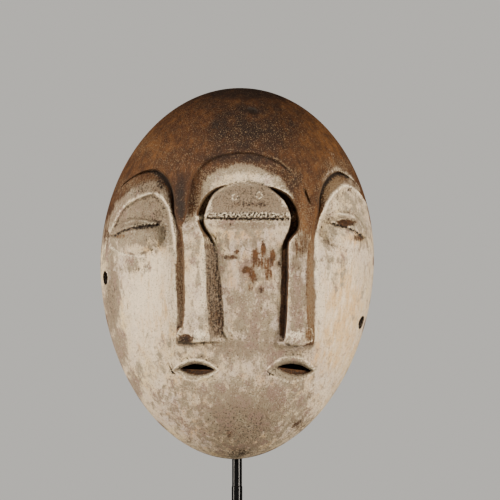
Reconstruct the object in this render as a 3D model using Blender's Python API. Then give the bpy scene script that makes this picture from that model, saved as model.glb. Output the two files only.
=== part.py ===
"""A carved wooden mask with two faces in one, held by a steel cradle on a rod and a block.

Metres, +Z up. The mask looks along -Y. The origin is the middle of the block's underside.
"""

import math

import bmesh
import bpy
import numpy as np
from mathutils import Vector

# Mask
MASK_HEIGHT = 0.300
MASK_WIDTH = 0.221
MASK_DEPTH = 0.088        # from the rim's plane to the front of the uncut wood
RIM_WALL = 0.012          # thickness of the rim
FRONT_WALL = 0.013        # thickness of the face
FACE_RECESS = 0.010       # how far the face is cut back behind forehead and noses
TIE_HOLE = 0.011          # diameter of the two holes for the tying cord

# Stand
ROD_DIAMETER = 0.008
ROD_SHOULDER = 0.0087     # diameter of the thicker lower stretch of the rod
SHOULDER_DROP = 0.022     # from the chin down to that stretch
ROD_BACK = 0.025          # the rod stands this far behind the middle of the block
ROD_SINK = 0.020          # length of rod inside the block
ROD_ROUND = 0.0005        # rounding of the rod's top and shoulder
BLOCK_WIDTH = 0.130
BLOCK_DEPTH = 0.110
BLOCK_HEIGHT = 0.030
BLOCK_BEVEL = 0.0025
CHIN_CLEARANCE = 0.088    # from the block's top to the chin
STRIP_WIDTH = 0.014       # flat bar of the cradle
STRIP_THICKNESS = 0.003
BEND_RADIUS = 0.012
PRONG_REACH = 0.025       # how far the crossbar's ends reach into the hollow
WELD_LAP = 0.0005         # crossbar and upright share this much, as one welded piece
GAP = 0.0003              # between pieces that touch
WOOD_GAP = 0.0006         # between the cradle's tips and the hollow
RIM_GAP = 0.001           # between the rod and the rim's plane

# Places on the mask, as shares of its height
WIDEST_AT = 0.531
CROSSBAR_AT = 0.240
UPRIGHT_FROM = 0.075
HOOK_AT = 0.880
ROD_TOP_AT = 0.330

# Form of the mask
LEAN = 0.016              # sideways drift of the outline for each metre of height
CROWN_POWER = 2.0         # the upper outline is an ellipse
CHIN_POWER = 1.92         # the lower one is a little more pointed
DOME_POWER = 2.3          # fuller than an ellipsoid
BROW_WALL = 0.0022        # width of the steep cut under a brow and beside a nose
CUT_ROUND = 0.0003        # rounding along the top of that cut
UNDERCUT = 0.0045         # extra depth at the foot of that cut
SLANT_POWER = 1.5         # the cut's floor rises faster near its foot
EYE_HOLLOW = 0.003
HOLLOW_EDGE = 0.007       # the hollow reaches its depth this far inside its rim
EYE_SWELL = 0.0048
SWELL_POWER = 0.8
SLIT_WIDTH = 0.001
SLIT_DEPTH = 0.002
NOSE_DROP = 0.001         # how far the noses stand behind the uncut wood
BAND_DROP = 0.0026        # step from the forehead to the arched band
BAND_SINK = 0.004         # further fall of the band towards the middle eye
BAND_FALL = 0.018         # width of that fall
MOAT_DEPTH = 0.0145       # cut round the middle eye
MOAT_WALL = 0.0034
LEFT_SLOPE = 0.0105       # width of the long slope on the inner side of the left nose
RIGHT_SLOPE = 0.0045
LID_EDGE = 0.0095
LID_SWELL = 0.008
LID_ROUND = 0.85          # 1 would make the lid a full half ellipsoid
UNDER_LID = 0.003         # depth of the plate right under the lid, and how much more at its ends
UNDER_ENDS = 0.0035
PLATE_ROUND = 0.0008      # rounding along the edge of the plate that carries the lid
LIP_RAISE = 0.0022
MOUTH_SINK = 0.005
PIT_DEPTH = 0.003
EDGE_FADE = 1.4           # how soon the carving starts inside the mask's edge
MIDDLE_MARGIN = 0.012     # the middle eye's part reaches this far outside the moat

# Shares of the height where one form turns into another, from below
NOSE_FOOT = 0.318
FOOT_BAND = (NOSE_FOOT - 0.02, NOSE_FOOT + 0.01)
PANEL_FOOT = NOSE_FOOT - 0.01
HOLLOW_BAND = (0.545, 0.625)
MOAT_BAND = (0.550, 0.615)
SLOPE_BAND = (0.565, 0.620)
ARCH_BAND = (0.600, 0.720)
MIDDLE_REACH = 0.23       # share of the width that the middle eye's part takes on each side
OUTSIDE = 1.6             # a share well outside the mask

# Where a mouth's lips and slot begin and reach their full height, on a scale that is 1 in its middle
LIP_BAND = (-0.10, 0.45)
SLOT_BAND = (-0.55, 0.55)
SLOT_TOP = 0.95           # shares of the slot's half height that are cut right through
SLOT_BOTTOM = 0.35

# Outlines of the carving. Across, 1 is half the mask's width from the rod's line. Up, 1 is the height.
LEFT_BROW = ((-1.06, 0.640), (-0.974, 0.668), (-0.842, 0.736), (-0.725, 0.768), (-0.608, 0.780),
             (-0.527, 0.768), (-0.476, 0.741), (-0.450, 0.706), (-0.443, 0.666))
LEFT_SIDE = ((-0.443, 0.666), (-0.417, 0.628), (-0.388, 0.590), (-0.377, 0.456), (-0.385, 0.318))
LEFT_RIM = ((-1.00, 0.530), (-0.915, 0.623), (-0.820, 0.682), (-0.688, 0.709), (-0.586, 0.714),
            (-0.498, 0.679), (-0.461, 0.617), (-0.443, 0.563), (-0.443, 0.318))
RIGHT_BROW = ((1.03, 0.640), (0.930, 0.702), (0.864, 0.747), (0.747, 0.774), (0.681, 0.767),
              (0.622, 0.741), (0.593, 0.706), (0.582, 0.666))
RIGHT_SIDE = ((0.582, 0.666), (0.548, 0.623), (0.518, 0.577), (0.508, 0.456), (0.520, 0.318))
RIGHT_RIM = ((0.990, 0.660), (0.915, 0.708), (0.805, 0.736), (0.725, 0.720), (0.652, 0.685),
             (0.593, 0.633), (0.567, 0.566), (0.567, 0.318))
ARCH = ((-0.366, 0.666), (-0.359, 0.704), (-0.322, 0.763), (-0.227, 0.802), (-0.095, 0.819), (0.044, 0.826),
        (0.183, 0.817), (0.315, 0.798), (0.395, 0.774), (0.490, 0.722), (0.531, 0.682))
LEFT_POINT = ((-0.425, 0.640), (-0.405, 0.628), (-0.385, 0.640))
RIGHT_POINT = ((0.550, 0.650), (0.568, 0.645))
MOAT_LEFT = ((0.081, 0.749), (-0.066, 0.741), (-0.168, 0.728), (-0.242, 0.706), (-0.293, 0.671),
             (-0.289, 0.639), (-0.249, 0.601), (-0.242, 0.577), (-0.227, 0.456), (-0.205, 0.318))
MOAT_RIGHT = ((0.355, 0.318), (0.373, 0.429), (0.381, 0.563), (0.395, 0.590), (0.454, 0.617),
              (0.461, 0.650), (0.432, 0.685), (0.359, 0.717), (0.227, 0.737), (0.081, 0.749))
PANEL = ((-0.081, 0.250), (-0.100, 0.429), (-0.139, 0.550), (-0.183, 0.596), (-0.234, 0.628),
         (-0.231, 0.658), (-0.205, 0.687), (-0.154, 0.717), (-0.051, 0.736), (0.081, 0.744),
         (0.212, 0.733), (0.329, 0.699), (0.381, 0.663), (0.384, 0.633), (0.344, 0.590),
         (0.322, 0.550), (0.315, 0.429), (0.300, 0.250))
LEFT_SLIT = ((-0.908, 0.600), (-0.813, 0.616), (-0.725, 0.623), (-0.571, 0.631))
RIGHT_SLIT = ((0.630, 0.639), (0.791, 0.623), (0.871, 0.612), (0.937, 0.593))
MIDDLE_SLIT = ((-0.240, 0.648), (0.081, 0.646), (0.375, 0.647))

# Ovals: middle across and up, half length, half height, and turn in radians.
LEFT_EYE = (-0.722, 0.603, 0.205, 0.050, 0.12)
RIGHT_EYE = (0.780, 0.606, 0.185, 0.042, -0.28)
MIDDLE_LID = (0.081, 0.648, 0.312, 0.100, 0.0)
LEFT_LIPS = (-0.304, 0.2425, 0.172, 0.0310, 0.0)
RIGHT_LIPS = (0.397, 0.2435, 0.189, 0.0365, -0.02)
LEFT_HOLE = (-0.288, 0.2440, 0.126, 0.0150, -0.03)
RIGHT_HOLE = (0.417, 0.2440, 0.126, 0.0150, -0.12)
FOREHEAD_PIT = (0.110, 0.937, 0.045, 0.010, -0.3)
LEFT_TIE = (-0.969, 0.488)
RIGHT_TIE = (0.915, 0.368)

# Fineness
ROWS = 280                # mesh rows up the mask, thinned out afterwards
FRONT_COLUMNS = 280
BACK_COLUMNS = 30
MASK_TRIANGLES = 8200
CURVE_STEPS = 4
ARC_STEPS = 8
SLOT_STEPS = 12
ROUND_STEPS = 32
BEVEL_STEPS = 3
SHARP_ANGLE = 35

CHIN = BLOCK_HEIGHT + CHIN_CLEARANCE
RIM_PLANE = ROD_BACK - ROD_DIAMETER / 2 - RIM_GAP
HOLLOW_DEPTH = MASK_DEPTH - FACE_RECESS - FRONT_WALL
MIDDLE = WIDEST_AT * MASK_HEIGHT


def clear_scene():
    for obj in list(bpy.data.objects):
        bpy.data.objects.remove(obj)


def material(name, colour, roughness, metallic=0.0):
    made = bpy.data.materials.new(name)
    made.use_nodes = True
    shader = made.node_tree.nodes["Principled BSDF"]
    shader.inputs["Base Color"].default_value = (*colour, 1)
    shader.inputs["Roughness"].default_value = roughness
    shader.inputs["Metallic"].default_value = metallic
    return made


def add_object(name, shape, finish=None):
    """The bmesh as a named object, its faces pointing out and its round parts smooth."""
    bmesh.ops.recalc_face_normals(shape, faces=shape.faces)
    mesh = bpy.data.meshes.new(name)
    shape.to_mesh(mesh)
    shape.free()
    mesh.shade_smooth()
    mesh.set_sharp_from_angle(angle=math.radians(SHARP_ANGLE))
    obj = bpy.data.objects.new(name, mesh)
    bpy.context.scene.collection.objects.link(obj)
    if finish:
        mesh.materials.append(finish)
    else:
        obj.hide_render = True
        obj.display_type = "WIRE"
    return obj


def combine(obj, other, operation):
    step = obj.modifiers.new(f"{operation.title()} {other.name}", "BOOLEAN")
    step.operation = operation
    step.solver = "EXACT"
    step.object = other


# Drawing on the mask: x across from the rod's line, z up from the chin

def smooth(band, value):
    """0 below the band's low end and 1 above its high end, with a soft change between."""
    low, high = band
    t = np.clip((value - low) / (high - low), 0, 1)
    return t * t * (3 - 2 * t)


def placed(points):
    """Shares of the half width and the height, as metres."""
    return np.array(points) * (MASK_WIDTH / 2, MASK_HEIGHT)


def curve(points):
    """A smooth curve through the points, as a finer row of points."""
    p = placed(points)
    p = np.vstack([2 * p[0] - p[1], p, 2 * p[-1] - p[-2]])
    t = (np.arange(CURVE_STEPS) / CURVE_STEPS)[:, None]
    rows = []
    for a, b, c, d in zip(p, p[1:], p[2:], p[3:]):
        cubic = 3 * b - a - 3 * c + d
        square = 2 * a - 5 * b + 4 * c - d
        rows.append(b + 0.5 * ((c - a) * t + square * t**2 + cubic * t**3))
    return np.vstack(rows + [p[-2:-1]])


def distance(path, x, z):
    """Distance from each point to a row of short straight lines."""
    best = np.full(np.shape(x), np.inf)
    for (ax, az), (bx, bz) in zip(path[:-1], path[1:]):
        dx, dz = bx - ax, bz - az
        length = max(dx * dx + dz * dz, 1e-18)
        t = np.clip(((x - ax) * dx + (z - az) * dz) / length, 0, 1)
        best = np.minimum(best, (x - ax - t * dx) ** 2 + (z - az - t * dz) ** 2)
    return np.sqrt(best)


def inside(ring, x, z):
    found = np.zeros(np.shape(x), bool)
    for (ax, az), (bx, bz) in zip(ring, np.roll(ring, -1, axis=0)):
        if az != bz:
            found ^= ((az > z) != (bz > z)) & (x < ax + (z - az) * (bx - ax) / (bz - az))
    return found


def depth_inside(ring, x, z):
    """Distance to a closed outline, positive inside it and negative outside."""
    side = np.where(inside(ring, x, z), 1, -1)
    return side * distance(np.vstack([ring, ring[:1]]), x, z)


def oval(shape, x, z):
    """Place along and across a turned oval, each 1 at its edge."""
    across, up, half_length, half_height, turn = shape
    (middle_x, middle_z), (reach, rise) = placed([(across, up), (half_length, half_height)])
    dx, dz = x - middle_x, z - middle_z
    cos, sin = math.cos(turn), math.sin(turn)
    return (cos * dx + sin * dz) / reach, (cos * dz - sin * dx) / rise


def lens(shape, x, z):
    """1 in the middle of a pointed oval and 0 on its two arcs."""
    along, across = oval(shape, x, z)
    return 1 - along**2 - np.abs(across)


def groove(points, x, z):
    return SLIT_DEPTH * np.exp(-((distance(curve(points), x, z) / SLIT_WIDTH) ** 2))


# Relief of the mask, as depth cut away from a smooth dome

def outline_share(x, z, inset=0.0):
    """0 at the middle of the mask and 1 on its outline, which is moved inwards by inset."""
    above = z > MIDDLE
    power = np.where(above, CROWN_POWER, CHIN_POWER)
    side = np.abs(x - LEAN * (z - MASK_HEIGHT / 2)) / (MASK_WIDTH / 2 - inset)
    rise = np.abs(z - MIDDLE) / (np.where(above, MASK_HEIGHT - MIDDLE, MIDDLE) - inset)
    return (side**power + rise**power) ** (1 / power)


def dome(x, z, depth, inset=0.0):
    share = np.clip(outline_share(x, z, inset), 0, 1)
    return depth * np.sqrt(1 - share**DOME_POWER)


def socket(x, z, brow, side, rim, eye, slit, towards):
    """One side of the face: the cut under the brow and along the nose, and the eye in its hollow."""
    share = z / MASK_HEIGHT
    line = curve(rim)
    far = towards * OUTSIDE
    beyond = placed([(rim[-1][0], -OUTSIDE), (far, -OUTSIDE), (far, rim[0][1])])
    cheek = inside(np.vstack([line, beyond]), x, z) | (share < FOOT_BAND[0])
    to_edge = distance(np.vstack([curve(brow), curve(side)]), x, z)
    to_rim = distance(line, x, z)
    slant = (to_rim / (to_edge + to_rim + 1e-9)) ** SLANT_POWER
    hollow = EYE_HOLLOW * smooth((0, HOLLOW_EDGE), to_rim) * smooth(HOLLOW_BAND, share)
    along, across = oval(eye, x, z)
    swell = EYE_SWELL * np.clip(1 - along**2 - across**2, 0, 1) ** SWELL_POWER
    return np.where(cheek, hollow, UNDERCUT * slant * smooth(FOOT_BAND, share)) - swell + groove(slit, x, z)


def middle_eye(x, z, face):
    """Between the noses: a moat round a large lid, and the panel that runs down from it."""
    along, across = oval(MIDDLE_LID, x, z)
    lid = LID_EDGE - LID_SWELL * np.sqrt(np.clip(1 - LID_ROUND * (along**2 + across**2), 0, 1))
    low = smooth((0, 1), -across)
    under = UNDER_LID + (face - UNDER_LID) * low + UNDER_ENDS * along**2 * (1 - low)
    plate = np.where(across > 0, lid, under)
    floor = face + (MOAT_DEPTH - face) * smooth(MOAT_BAND, z / MASK_HEIGHT)
    on_plate = smooth((-BROW_WALL, PLATE_ROUND), depth_inside(curve(PANEL), x, z))
    return floor + (plate - floor) * on_plate + groove(MIDDLE_SLIT, x, z)


def ribbon(x, z, moat, cut):
    """The noses and the arched band that joins them over the middle eye."""
    ring = [curve(LEFT_SIDE)[::-1], curve(ARCH), curve(RIGHT_SIDE), curve(MOAT_RIGHT), curve(MOAT_LEFT)]
    share = z / MASK_HEIGHT
    low = 1 - smooth(SLOPE_BAND, share)
    slope = np.where(x < MIDDLE_LID[0] * MASK_WIDTH / 2, LEFT_SLOPE, RIGHT_SLOPE)
    wall = np.where(moat > 0, low * slope + (1 - low) * MOAT_WALL, BROW_WALL)
    on_ribbon = 1 - smooth((0, 1), -depth_inside(np.vstack(ring), x, z) / wall)
    sink = BAND_SINK * np.clip(1 - np.abs(moat) / BAND_FALL, 0, 1)
    level = NOSE_DROP + (BAND_DROP - NOSE_DROP + sink) * smooth(ARCH_BAND, share)
    return cut + (level - cut) * on_ribbon


def forehead_part(x, z):
    """1 on the uncut forehead and 0 below the brows and the arch."""
    left_low, right_low = LEFT_BROW[0][1], RIGHT_BROW[0][1]
    far = placed([(OUTSIDE, right_low), (OUTSIDE, OUTSIDE), (-OUTSIDE, OUTSIDE), (-OUTSIDE, left_low)])
    rows = [curve(LEFT_BROW), placed(LEFT_POINT), curve(ARCH), placed(RIGHT_POINT)]
    rows += [curve(RIGHT_BROW)[::-1], far]
    return smooth((-BROW_WALL, CUT_ROUND), depth_inside(np.vstack(rows), x, z))


def mouth(x, z, lips, hole):
    """Raised lips round a sunk slot."""
    return MOUTH_SINK * smooth(SLOT_BAND, lens(hole, x, z)) - LIP_RAISE * smooth(LIP_BAND, lens(lips, x, z))


def front(x, z):
    """How far the carved face stands in front of the rim's plane."""
    block = dome(x, z, MASK_DEPTH)
    face = block - dome(x, z, MASK_DEPTH - FACE_RECESS)
    middle_x = MIDDLE_LID[0] * MASK_WIDTH / 2
    left = socket(x, z, LEFT_BROW, LEFT_SIDE, LEFT_RIM, LEFT_EYE, LEFT_SLIT, -1)
    right = socket(x, z, RIGHT_BROW, RIGHT_SIDE, RIGHT_RIM, RIGHT_EYE, RIGHT_SLIT, 1)
    fade = np.clip(EDGE_FADE * face / FACE_RECESS, 0, 1)
    cut = face + np.where(x < middle_x, left, right) * fade
    moat = depth_inside(np.vstack([curve(MOAT_LEFT), curve(MOAT_RIGHT)]), x, z)
    near = (moat > -MIDDLE_MARGIN) & (np.abs(x - middle_x) < MIDDLE_REACH * MASK_WIDTH)
    cut = np.where(near & (z > PANEL_FOOT * MASK_HEIGHT), middle_eye(x, z, face), cut)
    cut = ribbon(x, z, moat, cut) * (1 - forehead_part(x, z))
    cut = cut + mouth(x, z, LEFT_LIPS, LEFT_HOLE) + mouth(x, z, RIGHT_LIPS, RIGHT_HOLE)
    along, across = oval(FOREHEAD_PIT, x, z)
    return block - cut - PIT_DEPTH * np.clip(1 - along**2 - across**2, 0, 1)


# The mask's solid

def sheet_points(columns, inset):
    """x and z of a grid that crowds towards the outline, where the dome is steep."""
    turn = np.linspace(-math.pi / 2, math.pi / 2, ROWS + 1)[:, None]
    across = np.linspace(-math.pi / 2, math.pi / 2, columns + 1)[None, :]
    power = np.where(turn > 0, CROWN_POWER, CHIN_POWER)
    reach = np.where(turn > 0, MASK_HEIGHT - MIDDLE, MIDDLE) - inset
    half = np.clip(1 - np.abs(np.sin(turn)) ** power, 0, 1) ** (1 / power)
    z = MIDDLE + reach * np.sin(turn) + 0 * across
    x = LEAN * (z - MASK_HEIGHT / 2) + (MASK_WIDTH / 2 - inset) * half * np.sin(across)
    return x, z


def add_sheet(shape, x, z, rise):
    """One sheet of the shell, closed to a point at crown and chin. Its outline is returned in order."""
    rise[:, 0] = rise[:, -1] = rise[0] = rise[-1] = 0
    rows = []
    for xs, zs, ys in zip(x[1:-1], z[1:-1], rise[1:-1]):
        rows.append([shape.verts.new((a, RIM_PLANE - c, CHIN + b)) for a, b, c in zip(xs, zs, ys)])
    chin = shape.verts.new((x[0, 0], RIM_PLANE, CHIN + z[0, 0]))
    crown = shape.verts.new((x[-1, 0], RIM_PLANE, CHIN + z[-1, 0]))
    for low, high in zip(rows[:-1], rows[1:]):
        for i in range(len(low) - 1):
            shape.faces.new((low[i], low[i + 1], high[i + 1], high[i]))
    for tip, row in ((chin, rows[0]), (crown, rows[-1])):
        for a, b in zip(row[:-1], row[1:]):
            shape.faces.new((tip, a, b))
    return [chin] + [row[-1] for row in rows] + [crown] + [row[0] for row in reversed(rows)]


def add_shell(finish):
    """The mask before its holes are cut: carved front, smooth hollow and flat rim."""
    shape = bmesh.new()
    x, z = sheet_points(FRONT_COLUMNS, 0)
    outer = add_sheet(shape, x, z, front(x, z))
    x, z = sheet_points(BACK_COLUMNS, RIM_WALL)
    inner = add_sheet(shape, x, z, dome(x, z, HOLLOW_DEPTH, RIM_WALL))
    for i in range(len(outer)):
        shape.faces.new((outer[i - 1], outer[i], inner[i], inner[i - 1]))
    bmesh.ops.triangulate(shape, faces=shape.faces)
    ratio = MASK_TRIANGLES / len(shape.faces)
    mask = add_object("mask", shape, finish)
    thin = mask.modifiers.new("Thin out", "DECIMATE")
    thin.ratio = ratio
    return mask


def slot_cutter(name, hole):
    """A pointed oval bar that passes through the face, a little above the middle of the hollow lip."""
    across, up, half_length, half_height, turn = hole
    (middle_x, middle_z), (reach, rise) = placed([(across, up), (half_length, half_height)])
    along = np.linspace(-1, 1, SLOT_STEPS + 1)
    upper = [(a, SLOT_TOP * (1 - a * a)) for a in along]
    lower = [(a, -SLOT_BOTTOM * (1 - a * a)) for a in along[-2:0:-1]]
    cos, sin = math.cos(turn), math.sin(turn)
    shape = bmesh.new()
    ring = []
    for a, b in upper + lower:
        dx, dz = a * reach, b * rise
        place = (middle_x + cos * dx - sin * dz, RIM_PLANE, CHIN + middle_z + sin * dx + cos * dz)
        ring.append(shape.verts.new(place))
    face = shape.faces.new(ring)
    grown = bmesh.ops.extrude_face_region(shape, geom=[face])
    moved = [item for item in grown["geom"] if isinstance(item, bmesh.types.BMVert)]
    bmesh.ops.translate(shape, verts=moved, vec=(0, -2 * MASK_DEPTH, 0))
    return add_object(name, shape)


def tie_cutter(name, place):
    """A round bar square to the side wall of the mask."""
    x, z = placed(place)
    step = 0.0005
    slope_x = (dome(x + step, z, MASK_DEPTH) - dome(x - step, z, MASK_DEPTH)) / (2 * step)
    slope_z = (dome(x, z + step, MASK_DEPTH) - dome(x, z - step, MASK_DEPTH)) / (2 * step)
    shape = bmesh.new()
    bmesh.ops.create_cone(shape, cap_ends=True, segments=ROUND_STEPS // 2, radius1=TIE_HOLE / 2,
                          radius2=TIE_HOLE / 2, depth=4 * RIM_WALL)
    cutter = add_object(name, shape)
    cutter.location = (x, RIM_PLANE - dome(x, z, MASK_DEPTH), CHIN + z)
    cutter.rotation_mode = "QUATERNION"
    cutter.rotation_quaternion = Vector((-slope_x, -1, -slope_z)).to_track_quat("Z", "Y")
    return cutter


def make_mask():
    wood = material("painted wood", (0.55, 0.47, 0.38), 0.8)
    mask = add_shell(wood)
    for name, hole in (("left mouth cut", LEFT_HOLE), ("right mouth cut", RIGHT_HOLE)):
        combine(mask, slot_cutter(name, hole), "DIFFERENCE")
    for name, place in (("left tie cut", LEFT_TIE), ("right tie cut", RIGHT_TIE)):
        combine(mask, tie_cutter(name, place), "DIFFERENCE")


# The stand

def arc(middle, radius, start, end):
    turns = np.radians(np.linspace(start, end, ARC_STEPS + 1))
    return [(middle[0] + radius * math.cos(t), middle[1] + radius * math.sin(t)) for t in turns]


def add_strip(name, path, half_width, place, finish=None):
    """A flat bar bent along a path, of which place(a, b, w) gives the point at width w."""
    points = np.array(path)
    along = np.gradient(points, axis=0)
    along /= np.linalg.norm(along, axis=1)[:, None]
    side = np.stack([-along[:, 1], along[:, 0]], axis=1) * STRIP_THICKNESS / 2
    outline = list(points + side) + list((points - side)[::-1])
    shape = bmesh.new()
    near = [shape.verts.new(place(a, b, -half_width)) for a, b in outline]
    far = [shape.verts.new(place(a, b, half_width)) for a, b in outline]
    shape.faces.new(near)
    shape.faces.new(far[::-1])
    for i in range(len(near)):
        shape.faces.new((near[i - 1], near[i], far[i], far[i - 1]))
    return add_object(name, shape, finish)


def hollow_half(z, depth):
    """Half the width of the hollow at height z, at a depth from the rim's plane."""
    share = (1 - (depth / HOLLOW_DEPTH) ** 2) ** (1 / DOME_POWER)
    rise = (MIDDLE - z) / (MIDDLE - RIM_WALL)
    side = (share**CHIN_POWER - rise**CHIN_POWER) ** (1 / CHIN_POWER)
    return side * (MASK_WIDTH / 2 - RIM_WALL)


def make_cradle(finish):
    """A flat upright hooked over at the top inside the forehead, and a crossbar between the cheeks."""
    front_of_rod = ROD_BACK - ROD_DIAMETER / 2 - GAP
    upright_y = front_of_rod - STRIP_THICKNESS / 2
    hook_z = HOOK_AT * MASK_HEIGHT
    tip = dome(STRIP_WIDTH / 2, hook_z + STRIP_THICKNESS / 2, HOLLOW_DEPTH, RIM_WALL) - WOOD_GAP
    bend = arc((upright_y - BEND_RADIUS, CHIN + hook_z - BEND_RADIUS), BEND_RADIUS, 0, 90)
    path = [(upright_y, CHIN + UPRIGHT_FROM * MASK_HEIGHT), *bend, (RIM_PLANE - tip, CHIN + hook_z)]
    cradle = add_strip("cradle", path, STRIP_WIDTH / 2, lambda a, b, w: (w, a, b), finish)

    bar_z = CROSSBAR_AT * MASK_HEIGHT
    bar_y = front_of_rod - 1.5 * STRIP_THICKNESS + WELD_LAP
    drift = LEAN * (bar_z - STRIP_WIDTH / 2 - MASK_HEIGHT / 2)
    half = hollow_half(bar_z - STRIP_WIDTH / 2, PRONG_REACH) - STRIP_THICKNESS / 2 - WOOD_GAP
    tip_y = RIM_PLANE - PRONG_REACH
    corner_y = bar_y - BEND_RADIUS
    left = arc((-half + BEND_RADIUS, corner_y), BEND_RADIUS, 180, 90)
    right = arc((half - BEND_RADIUS, corner_y), BEND_RADIUS, 90, 0)
    path = [(a + drift, b) for a, b in [(-half, tip_y), *left, *right, (half, tip_y)]]
    crossbar = add_strip("crossbar weld", path, STRIP_WIDTH / 2, lambda a, b, w: (a, b, CHIN + bar_z + w))
    combine(cradle, crossbar, "UNION")


def turned(profile):
    """A round piece about the rod's line, from (radius, height) pairs from top to bottom."""
    shape = bmesh.new()
    turns = np.arange(ROUND_STEPS) * 2 * math.pi / ROUND_STEPS
    rings = []
    for radius, z in profile:
        circle = [(radius * math.cos(t), ROD_BACK + radius * math.sin(t)) for t in turns]
        rings.append([shape.verts.new((a, b, z)) for a, b in circle])
    for high, low in zip(rings[:-1], rings[1:]):
        for i in range(ROUND_STEPS):
            shape.faces.new((high[i - 1], high[i], low[i], low[i - 1]))
    shape.faces.new(rings[0])
    shape.faces.new(rings[-1][::-1])
    return shape


def make_rod(finish):
    radius, thick = ROD_DIAMETER / 2, ROD_SHOULDER / 2
    top = CHIN + ROD_TOP_AT * MASK_HEIGHT
    shoulder = CHIN - SHOULDER_DROP
    foot = BLOCK_HEIGHT - ROD_SINK + GAP
    profile = [(radius - ROD_ROUND, top), (radius, top - ROD_ROUND), (radius, shoulder),
               (thick, shoulder - ROD_ROUND), (thick, foot)]
    add_object("rod", turned(profile), finish)


def make_block():
    dark_wood = material("blackened wood", (0.018, 0.016, 0.015), 0.45)
    shape = bmesh.new()
    bmesh.ops.create_cube(shape, size=1)
    bmesh.ops.scale(shape, verts=shape.verts, vec=(BLOCK_WIDTH, BLOCK_DEPTH, BLOCK_HEIGHT))
    bmesh.ops.translate(shape, verts=shape.verts, vec=(0, 0, BLOCK_HEIGHT / 2))
    block = add_object("block", shape, dark_wood)
    bevel = block.modifiers.new("Broken edges", "BEVEL")
    bevel.width = BLOCK_BEVEL
    bevel.segments = BEVEL_STEPS
    bore = ROD_SHOULDER / 2 + GAP
    over = BLOCK_HEIGHT + ROD_DIAMETER
    cutter = add_object("rod bore", turned([(bore, over), (bore, BLOCK_HEIGHT - ROD_SINK)]))
    combine(block, cutter, "DIFFERENCE")


def main():
    clear_scene()
    black_steel = material("black steel", (0.012, 0.012, 0.013), 0.25, 0.9)
    make_mask()
    make_cradle(black_steel)
    make_rod(black_steel)
    make_block()


main()
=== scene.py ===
# %% [markdown]
# # A carved mask with two faces in one, on its stand
#
# The mask is one piece of light hardwood, cut with adze and knife. It is hollow behind. The forehead was left
# brown and the face below it was coated with kaolin, a white clay, which has worn and yellowed since. This
# lesson makes it as one shell from a formula for its relief, then gives it its paint, and makes the steel and
# wood of the stand that holds it.
#
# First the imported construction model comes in. It fixes every size: the pieces made here take the place of
# its plain solids and stay inside them.

import math

import bmesh
import bpy
import numpy as np
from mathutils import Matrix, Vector, noise


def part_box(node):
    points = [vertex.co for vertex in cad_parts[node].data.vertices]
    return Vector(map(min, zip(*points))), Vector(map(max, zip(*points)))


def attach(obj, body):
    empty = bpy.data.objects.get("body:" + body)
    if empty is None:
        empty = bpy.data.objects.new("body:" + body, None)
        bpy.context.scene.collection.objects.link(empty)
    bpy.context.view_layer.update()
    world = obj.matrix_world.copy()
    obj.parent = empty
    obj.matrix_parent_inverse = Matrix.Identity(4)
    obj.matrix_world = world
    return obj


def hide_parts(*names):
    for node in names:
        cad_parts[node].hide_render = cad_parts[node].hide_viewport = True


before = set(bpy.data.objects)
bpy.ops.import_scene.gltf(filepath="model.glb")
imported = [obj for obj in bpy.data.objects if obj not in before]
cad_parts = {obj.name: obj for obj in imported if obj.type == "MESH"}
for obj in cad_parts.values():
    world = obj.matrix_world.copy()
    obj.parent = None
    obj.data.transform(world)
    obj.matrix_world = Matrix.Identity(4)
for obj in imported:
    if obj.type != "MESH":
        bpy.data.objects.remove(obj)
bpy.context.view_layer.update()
print("nodes:", sorted(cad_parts))

# %% [markdown]
# ## Sizes
#
# The mask's height, width, chin and rim plane come from its node in the frame. The other sizes are typed
# here once, in metres, and are the ones that the construction model uses for the same forms.

# %% Sizes from the frame
MM = 1000                 # millimetres in a metre, for what is printed and for the scale of a pattern
mask_low, mask_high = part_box("mask")
rod_low, rod_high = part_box("rod")
block_low, block_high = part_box("block")
CHIN = mask_low.z
RIM_PLANE = mask_high.y
MASK_HEIGHT = mask_high.z - mask_low.z
MASK_WIDTH = 0.221
ROD_BACK = (rod_low.y + rod_high.y) / 2
ROD_SHOULDER = rod_high.x - rod_low.x              # the rod's lower stretch is a little thicker
print(f"mask {MASK_WIDTH * MM:.0f} x {MASK_HEIGHT * MM:.0f} mm, its chin {CHIN * MM:.0f} mm up")

# %% Sizes of the mask's wood
MASK_DEPTH = 0.088        # from the rim's plane to the front of the uncut wood
RIM_WALL = 0.012
FRONT_WALL = 0.013
FACE_RECESS = 0.010       # how far the face is cut back behind forehead and noses
TIE_HOLE = 0.011
RIM_ROUND = 0.0012        # rounding of the rim's two edges
HOLLOW_DEPTH = MASK_DEPTH - FACE_RECESS - FRONT_WALL
WIDEST_AT = 0.531         # share of the height
MIDDLE = WIDEST_AT * MASK_HEIGHT
LEAN = 0.016              # sideways drift of the outline for each metre of height
CROWN_POWER = 2.0         # 2 is an ellipse, and less than 2 is a little more pointed
CHIN_POWER = 1.92
DOME_POWER = 2.3
print(f"hollow {HOLLOW_DEPTH * MM:.0f} mm deep, mask widest {MIDDLE * MM:.0f} mm above its chin")

# %% [markdown]
# ## Two small helpers
#
# Colours are picked as sRGB hex values, the way a colour picker shows them, while shaders count in linear
# light, so one function turns one into the other. The second helper adds any node to any tree, with its
# settings and with what feeds its inputs, which keeps the material cells readable.

# %% Colour and node helpers
def colour(code):
    """An sRGB hex value as linear red, green, blue and alpha."""
    shares = [int(code[i:i + 2], 16) / 255 for i in (1, 3, 5)]
    linear = [s / 12.92 if s <= 0.04045 else ((s + 0.055) / 1.055) ** 2.4 for s in shares]
    return (*linear, 1)


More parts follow.
